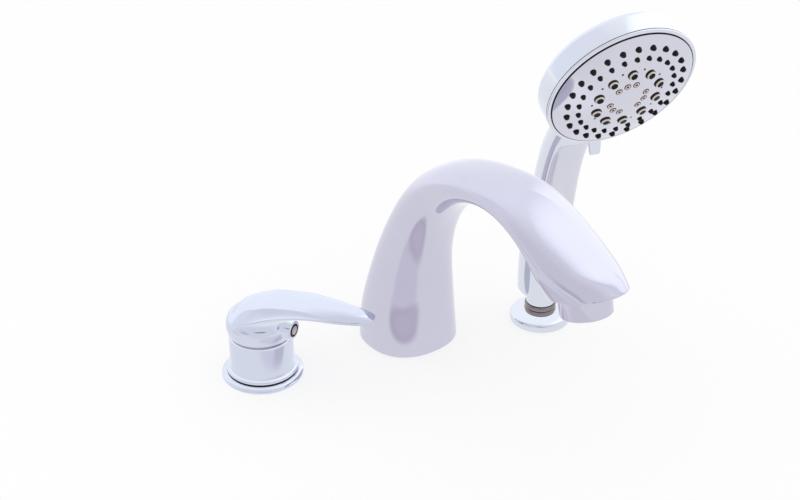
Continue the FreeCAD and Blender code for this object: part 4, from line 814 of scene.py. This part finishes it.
def mapped(tree, value, low, high, to_low=0.0, to_high=1.0, curve="LINEAR"):
    """Value carried from low..high to to_low..to_high, straight or on an S-curve, held beyond the ends."""
    values = {"Value": value, "From Min": low, "From Max": high, "To Min": to_low, "To Max": to_high}
    return add_node(tree, "MapRange", values, interpolation_type=curve).outputs["Result"]


def calculate(tree, operation, *values):
    """Math node on sockets or plain numbers."""
    return add_node(tree, "Math", dict(enumerate(values)), operation=operation).outputs[0]


def toned(tree, under, mask, over):
    """One colour laid over another by a mask."""
    return add_node(tree, "Mix", {"Factor": mask, "A": under, "B": over}, data_type="RGBA").outputs["Result"]


def parts_of(tree, vector):
    """The three parts of a vector or a colour."""
    return add_node(tree, "SeparateXYZ", {"Vector": vector}).outputs


def weighted(tree, first, first_weight, second, second_weight):
    """Sum of two values, each times its weight."""
    first = calculate(tree, "MULTIPLY", first, first_weight)
    return calculate(tree, "ADD", first, calculate(tree, "MULTIPLY", second, second_weight))


def shader_tree(name):
    """New material with its tree, its Principled shader and its Object coordinates."""
    material = bpy.data.materials.new(name)
    material.use_nodes = True
    tree = material.node_tree
    return material, tree, tree.nodes["Principled BSDF"], add_node(tree, "TexCoord", {}).outputs["Object"]


def new_group(name, inputs, outputs):
    """New shader node group with float sockets after its Place; also its given values and its output node."""
    group = bpy.data.node_groups.new(name, "ShaderNodeTree")
    group.interface.new_socket(name="Place", in_out="INPUT", socket_type="NodeSocketVector")
    for label, start in inputs.items():
        socket = group.interface.new_socket(name=label, in_out="INPUT", socket_type="NodeSocketFloat")
        socket.default_value = start
    for label in outputs:
        group.interface.new_socket(name=label, in_out="OUTPUT", socket_type="NodeSocketFloat")
    return group, group.nodes.new("NodeGroupInput").outputs, group.nodes.new("NodeGroupOutput")


def make_finish_group():
    """The finish of a made surface: a mottle of soft clouds and a fine grain, which is its height too."""
    starts = {"Cloud Scale": 40.0, "Grain Scale": 900.0, "Grain Share": 0.3}
    group, given, out = new_group("surface_finish", starts, ["Mottle", "Height"])
    clouds = noise(group, given["Place"], given["Cloud Scale"], 3.0)
    grain = noise(group, given["Place"], given["Grain Scale"], 2.0, 0.7)
    rest = calculate(group, "SUBTRACT", 1.0, given["Grain Share"])
    mottle = weighted(group, grain, given["Grain Share"], clouds, rest)
    feed(group, out, {"Mottle": mottle, "Height": mottle})
    return group


def make_marks_group():
    """What handling leaves: dried drops as soft-edged spots, and thin dust, each a mask."""
    starts = {"Drop Scale": 90.0, "Amount": 0.3}
    group, given, out = new_group("handling_marks", starts, ["Drops", "Dust"])
    values = {"Vector": given["Place"], "Scale": given["Drop Scale"], "Randomness": 1.0}
    cells = add_node(group, "TexVoronoi", values).outputs
    spot = mapped(group, cells["Distance"], 0.22, 0.12, curve="SMOOTHSTEP")
    kept = calculate(group, "LESS_THAN", parts_of(group, cells["Color"])["X"], given["Amount"])
    dust_scale = calculate(group, "MULTIPLY", given["Drop Scale"], 9.0)
    dust = mapped(group, noise(group, given["Place"], dust_scale, 4.0, 0.75), 0.58, 0.78)
    drops = calculate(group, "MULTIPLY", spot, kept)
    feed(group, out, {"Drops": drops, "Dust": calculate(group, "MULTIPLY", dust, given["Amount"])})
    return group


SURFACE_FINISH = make_finish_group()
HANDLING_MARKS = make_marks_group()


def place_group(tree, group, place, values):
    """A group node in a material's tree, reading the piece's own coordinates and its own plain values."""
    return add_node(tree, "Group", {"Place": place, **values}, node_tree=group).outputs


# Marks: a dried drop's tone and how much of it shows, how rough a drop is beside dust, and what both add
DROP_TONE = 0.94
DROP_SHOWN = 0.5
DROP_ROUGH = 0.03
MARKS_ROUGH = 0.35
RELIEF_DEPTH = 0.0004

# Most of what a noise gives lies in this span
NOISE_SPAN = (0.3, 0.7)


def mottled(
    name, first, second, roughness, metal=0.0, clouds=40.0, grain=900.0, bump=0.05, drops=0.25, specular=0.5
):
    """Material of two close tones, with a roughness that wanders and rises at marks, and a fine bump."""
    material, tree, shader, place = shader_tree(name)
    finish = place_group(tree, SURFACE_FINISH, place, {"Cloud Scale": clouds, "Grain Scale": grain})
    marks = place_group(tree, HANDLING_MARKS, place, {"Amount": drops})
    tone = toned(tree, first, mapped(tree, finish["Mottle"], *NOISE_SPAN), second)
    faded = tuple(DROP_TONE * channel for channel in second)
    shown = calculate(tree, "MULTIPLY", marks["Drops"], DROP_SHOWN)
    marked = calculate(tree, "ADD", calculate(tree, "MULTIPLY", marks["Drops"], DROP_ROUGH), marks["Dust"])
    rough = weighted(tree, mapped(tree, finish["Mottle"], *NOISE_SPAN, *roughness), 1.0, marked, MARKS_ROUGH)
    relief = {"Strength": bump, "Distance": RELIEF_DEPTH, "Height": finish["Height"]}
    looks = {
        "Base Color": toned(tree, tone, shown, faded),
        "Roughness": rough,
        "Metallic": metal,
        "Specular IOR Level": specular,
        "Normal": add_node(tree, "Bump", relief).outputs["Normal"],
    }
    feed(tree, shader, looks)
    return material


def plated(name, first, second, roughness):
    """A plated metal: wide clouds, a fine grain, hardly any bump and few marks."""
    finish = {"clouds": 22.0, "grain": 320.0, "bump": 0.012, "drops": 0.12}
    return mottled(name, first, second, roughness, 1.0, **finish)


# Metals: the spout's chrome is warmer than the mixer's and the hand shower's, as in the photograph; those two
# are brighter, bluer copies of it, a painted reflection
chrome = plated("chrome", (0.60, 0.595, 0.69), (0.62, 0.615, 0.71), (0.03, 0.06))
mixer_painted_reflection_chrome = plated("mixer_painted_reflection_chrome", (0.66, 0.70, 0.80), (0.68, 0.72, 0.82), (0.03, 0.06))
shower_painted_reflection_chrome = plated("shower_painted_reflection_chrome", (0.70, 0.73, 0.79), (0.72, 0.75, 0.81), (0.03, 0.06))
satin_chrome = plated("satin_chrome", (0.66, 0.67, 0.73), (0.68, 0.69, 0.75), (0.10, 0.15))
face_chrome = plated("face_chrome", (0.66, 0.66, 0.73), (0.68, 0.68, 0.75), (0.06, 0.10))
shade_chrome = plated("shade_chrome", (0.34, 0.34, 0.39), (0.40, 0.40, 0.45), (0.08, 0.14))
# Dark chrome for the holder's beads: painted shade
painted_shade_bead_chrome = plated("painted_shade_bead_chrome", (0.20, 0.17, 0.17), (0.30, 0.27, 0.27), (0.04, 0.08))
collar_chrome = plated("collar_chrome", (0.62, 0.57, 0.52), (0.70, 0.66, 0.62), (0.12, 0.20))
steel = mottled("steel", (0.50, 0.50, 0.49), (0.56, 0.55, 0.53), (0.25, 0.38), 1.0)
brass = mottled("brass", (0.56, 0.41, 0.17), (0.62, 0.46, 0.20), (0.24, 0.36), 1.0)

# Rubbers, plastics, ceramic and enamel
black_rubber = mottled("black_rubber", (0.012, 0.012, 0.014), (0.03, 0.03, 0.032), (0.42, 0.6), bump=0.2)
nub_rubber = mottled(
    "nub_rubber", (0.002, 0.002, 0.004), (0.012, 0.011, 0.012), (0.22, 0.34), bump=0.1, specular=0.12
)
white_plastic = mottled("white_plastic", (0.72, 0.71, 0.68), (0.78, 0.77, 0.74), (0.3, 0.42), bump=0.1)
grey_plastic = mottled("grey_plastic", (0.22, 0.22, 0.23), (0.28, 0.28, 0.29), (0.35, 0.5), bump=0.1)
bronze_plastic = mottled(
    "bronze_plastic", (0.035, 0.018, 0.010), (0.16, 0.075, 0.035), (0.15, 0.25), clouds=300.0, specular=0.25
)
umber_plastic = mottled(
    "umber_plastic", (0.004, 0.003, 0.003), (0.035, 0.018, 0.010), (0.18, 0.30), clouds=160.0, specular=0.15
)
dark_plastic = mottled("dark_plastic", (0.003, 0.003, 0.003), (0.010, 0.008, 0.007), (0.25, 0.4), specular=0.1)
black_band = mottled("black_band", (0.002, 0.002, 0.004), (0.008, 0.008, 0.012), (0.12, 0.2), specular=0.12)
white_ceramic = mottled("white_ceramic", (0.83, 0.81, 0.76), (0.87, 0.85, 0.81), (0.12, 0.2))
cap_enamel = mottled("cap_enamel", (0.60, 0.47, 0.50), (0.72, 0.60, 0.63), (0.15, 0.25), clouds=260.0)


# Pieces

make_spout(chrome)
make_outlet_ring(chrome)
make_mixer_shells(mixer_painted_reflection_chrome, black_band)
make_lever(mixer_painted_reflection_chrome)
make_cap(mixer_painted_reflection_chrome, cap_enamel, black_band)
make_holder(shower_painted_reflection_chrome, painted_shade_bead_chrome, black_band)
make_handset(shower_painted_reflection_chrome, satin_chrome)
make_ring(shower_painted_reflection_chrome, black_band)
make_plate(face_chrome)
make_nozzles(nub_rubber, bronze_plastic, umber_plastic, dark_plastic, collar_chrome)

NODE_MATERIALS = {
    "chrome": chrome,
    "steel": steel,
    "brass": brass,
    "rubber": black_rubber,
    "plastic_white": white_plastic,
    "plastic_grey": grey_plastic,
    "ceramic": white_ceramic,
    "dark": dark_plastic,
    "cap": cap_enamel,
    "face": face_chrome,
    "satin": satin_chrome,
    "silicone": nub_rubber,
}


# Nodes that are seen only in the shade of what stands over them
SHADED_NODES = {"dome_ring": shade_chrome}


def dress_nodes():
    """Give each node of the frame its shaded material, or that of its slot in the record."""
    for subpart in frame["record"]["subparts"]:
        materials = nodes[subpart["node"]].data.materials
        materials.clear()
        materials.append(SHADED_NODES.get(subpart["node"], NODE_MATERIALS[subpart["material_slot"]]))


dress_nodes()


# Mirrors leave out the mixer's and the hand shower's stations: in the photograph the spout shows neither
UNMIRRORED_BODIES = ("handset", "spray_face", "hose_end")
UNMIRRORED_REACH = 0.060


def near_station(thing, station):
    """Whether the middle of a piece's box stands within the reach of a station's axis, seen from above."""
    corners = np.array([list(corner) for corner in thing.bound_box])
    middle = (corners.min(axis=0) + corners.max(axis=0)) / 2.0
    (place_x, place_y), _ = station
    return math.hypot(middle[0] - place_x, middle[1] - place_y) < UNMIRRORED_REACH


def keep_stations_out_of_mirrors():
    """Turn off what a mirror ray sees of both stations; the camera and soft light still see them."""
    for thing in bpy.context.scene.objects:
        if thing.type == "MESH":
            near = near_station(thing, MIXER) or near_station(thing, SHOWER)
            if near or thing.get("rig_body") in UNMIRRORED_BODIES:
                thing.visible_glossy = False


keep_stations_out_of_mirrors()


# Floor and backdrop: one sheet, white to the camera and with painted reflections to mirrors, that keeps the
# set's soft shadow

STUDIO_HALF_WIDTH = 3.0
STUDIO_FRONT = -3.0
STUDIO_BACK = 2.2
STUDIO_TOP = 2.4
STUDIO_BEND = 0.7
FLOOR_LEVEL = -0.0005

# The sheet's two tones to soft light; its tone to the camera, and what it adds to it to come out white there
CARD_TONES = ((0.80, 0.80, 0.81), (0.82, 0.82, 0.83))
CARD_TO_CAMERA = (0.36, 0.36, 0.36)
CAMERA_GLOW = 0.70
WHITE = (1.0, 1.0, 1.0)
BLACK = (0.0, 0.0, 0.0)

# Painted reflections, what mirrors see of the sheet: its tone by the set and at the far back, how far back
# each holds, and soft zones over them, darker ones painted shade and brighter ones painted light, each with
# its centre, half sizes and turn in metres and degrees, its softness and its tone
MIRROR_NEAR = (0.95, 0.95, 0.98)
MIRROR_FAR = (1.13, 1.15, 1.19)
MIRROR_REACH = (-0.05, 0.9)
MIRROR_ZONES = [
    (0.0, -0.42, 0.32, 0.20, 0.0, 0.7, (0.86, 0.85, 0.90)),
    (0.12, -0.24, 0.05, 0.16, -30.0, 0.8, (1.04, 1.05, 1.10)),
    (-0.36, -0.12, 0.12, 0.07, 10.0, 0.7, (0.82, 0.81, 0.88)),
    (-0.40, -0.02, 0.02, 0.12, 20.0, 0.7, (1.05, 1.06, 1.10)),
    (-0.020, -0.135, 0.080, 0.070, 8.0, 0.35, (0.84, 0.81, 0.89)),
    (-0.010, -0.084, 0.056, 0.022, 4.0, 0.60, (0.66, 0.62, 0.71)),
    (-0.004, -0.085, 0.040, 0.014, 4.0, 0.80, (0.72, 0.68, 0.76)),
    (1.90, 2.20, 0.90, 0.60, 0.0, 0.7, (1.42, 1.46, 1.50)),
]


def studio_sheet():
    """Grid of a floor that bends up into a backdrop: a straight run, a quarter circle and a rise."""
    turn = np.linspace(0.0, math.pi / 2.0, 24)
    bend_y, bend_z = STUDIO_BEND * (np.sin(turn) - 1.0), STUDIO_BEND * (1.0 - np.cos(turn))
    y = np.concatenate([[STUDIO_FRONT], STUDIO_BACK + bend_y, [STUDIO_BACK]])
    z = np.concatenate([[0.0], bend_z, [STUDIO_TOP]]) + FLOOR_LEVEL
    left = np.stack([np.full_like(y, -STUDIO_HALF_WIDTH), y, z], axis=1)
    right = np.stack([np.full_like(y, STUDIO_HALF_WIDTH), y, z], axis=1)
    points = np.concatenate([left, right])
    i = np.arange(len(y) - 1)
    faces = np.stack([i, i + len(y), i + 1 + len(y), i + 1], axis=1)
    return points, faces


def rays(tree):
    """Sockets that are one for a ray from the camera, and one for a ray from a mirror or through glass."""
    path = add_node(tree, "LightPath", {}).outputs
    mirrored = calculate(tree, "MAXIMUM", path["Is Glossy Ray"], path["Is Transmission Ray"])
    return path["Is Camera Ray"], mirrored


def floor_zone(tree, parts, zone):
    """One inside a turned ellipse on the floor, falling softly to nought outside it."""
    x, y, wide, deep, turn, soft, _ = zone
    cos, sin = math.cos(math.radians(turn)), math.sin(math.radians(turn))
    across = calculate(tree, "SUBTRACT", parts[0], x)
    along = calculate(tree, "SUBTRACT", parts[1], y)
    u = weighted(tree, across, cos / wide, along, sin / wide)
    v = weighted(tree, across, -sin / deep, along, cos / deep)
    away = weighted(tree, u, u, v, v)
    return mapped(tree, away, 1.0 + soft, 1.0 - soft, curve="SMOOTHSTEP")


def mirror_tone(tree, place):
    """Painted reflections, the colour that mirrors see of the sheet: a ramp from the set to the back, and the
    zones of painted shade and light over it.
    """
    parts = parts_of(tree, place)
    tone = toned(tree, MIRROR_NEAR, mapped(tree, parts[1], *MIRROR_REACH, curve="SMOOTHSTEP"), MIRROR_FAR)
    for zone in MIRROR_ZONES:
        tone = toned(tree, tone, floor_zone(tree, parts, zone), zone[-1])
    return tone


def make_studio():
    """The sheet: pale card to soft light, white to the camera, and the painted reflections to mirrors."""
    material, tree, shader, place = shader_tree("studio_white")
    to_camera, mirrored = rays(tree)
    card = toned(tree, CARD_TONES[0], noise(tree, place, 3.0, 2.0), CARD_TONES[1])
    card = toned(tree, card, to_camera, CARD_TO_CAMERA)
    looks = {
        "Base Color": toned(tree, card, mirrored, BLACK),
        "Roughness": 0.9,
        "Specular IOR Level": 0.0,
        "Emission Color": toned(tree, mirror_tone(tree, place), to_camera, WHITE),
        "Emission Strength": weighted(tree, mirrored, 1.0, to_camera, CAMERA_GLOW),
    }
    feed(tree, shader, looks)
    mesh_object("studio", *studio_sheet(), material)


make_studio()


# Studio light: a plain soft white for the surfaces; mirrors see painted reflections of pale panels and of a
# dim room between them, which light nothing

SOFT_LIGHT = (0.85, 0.85, 0.85)


def patch(tree, parts, turn, height, wide, tall, soft):
    """Rounded patch of sky: one inside |side|^3 + |rise|^3 = 1 about a turn and a height, nought outside.

    The turn is measured from -Y, the front, towards +X. Turn, height and half sizes are in degrees, and the
    edge's softness is a share of the half sizes.
    """
    east, north, up = parts
    compass = calculate(tree, "ARCTAN2", east, calculate(tree, "MULTIPLY", north, -1.0))
    side = calculate(tree, "SUBTRACT", compass, math.radians(turn))
    rise = calculate(tree, "SUBTRACT", calculate(tree, "ARCSINE", up), math.radians(height))
    side = calculate(tree, "ABSOLUTE", calculate(tree, "DIVIDE", side, math.radians(wide)))
    rise = calculate(tree, "ABSOLUTE", calculate(tree, "DIVIDE", rise, math.radians(tall)))
    both = calculate(tree, "ADD", calculate(tree, "POWER", side, 3.0), calculate(tree, "POWER", rise, 3.0))
    away = calculate(tree, "POWER", both, 1.0 / 3.0)
    return mapped(tree, away, 1.0 + soft, 1.0 - soft, curve="SMOOTHSTEP")


# Painted reflections, patches that only mirrors see: turn, height, half width and half height in degrees,
# softness, colour
SKY_PATCHES = [
    (-48.0, 8.0, 12.0, 12.0, 0.6, (0.68, 0.67, 0.72)),
    (70.0, 20.0, 16.0, 40.0, 0.5, (0.94, 0.95, 1.02)),
    (132.0, 45.0, 17.0, 30.0, 0.6, (1.40, 1.44, 1.50)),
    (108.0, 35.0, 5.0, 60.0, 0.4, (0.98, 0.98, 1.06)),
    (-100.0, 30.0, 10.0, 50.0, 0.5, (0.96, 0.98, 1.06)),
    (4.0, 33.0, 20.0, 3.5, 0.35, (0.05, 0.05, 0.07)),
]
# The painted sky that mirrors see: its tone in front and behind, and where on the Y axis one turns to the
# other
SKY_FRONT = (0.86, 0.86, 0.91)
SKY_BACK = (1.13, 1.15, 1.20)
SKY_TURN = (-0.4, 0.5)


def make_world():
    """Soft light to surfaces, white to the camera, and to mirrors a painted reflection: a front-to-back ramp
    with its patches.
    """
    world = bpy.data.worlds.new("studio_light")
    world.use_nodes = True
    tree = world.node_tree
    parts = parts_of(tree, add_node(tree, "TexCoord", {}).outputs["Generated"])
    sky = toned(tree, SKY_FRONT, mapped(tree, parts[1], *SKY_TURN, curve="SMOOTHSTEP"), SKY_BACK)
    for *shape, colour in SKY_PATCHES:
        sky = toned(tree, sky, patch(tree, parts, *shape), colour)
    to_camera, mirrored = rays(tree)
    sky = toned(tree, sky, to_camera, WHITE)
    seen = calculate(tree, "MAXIMUM", to_camera, mirrored)
    feed(tree, tree.nodes["Background"], {"Color": toned(tree, SOFT_LIGHT, seen, sky), "Strength": 1.0})
    bpy.context.scene.world = world


make_world()
bpy.context.scene.view_settings.view_transform = "Standard"
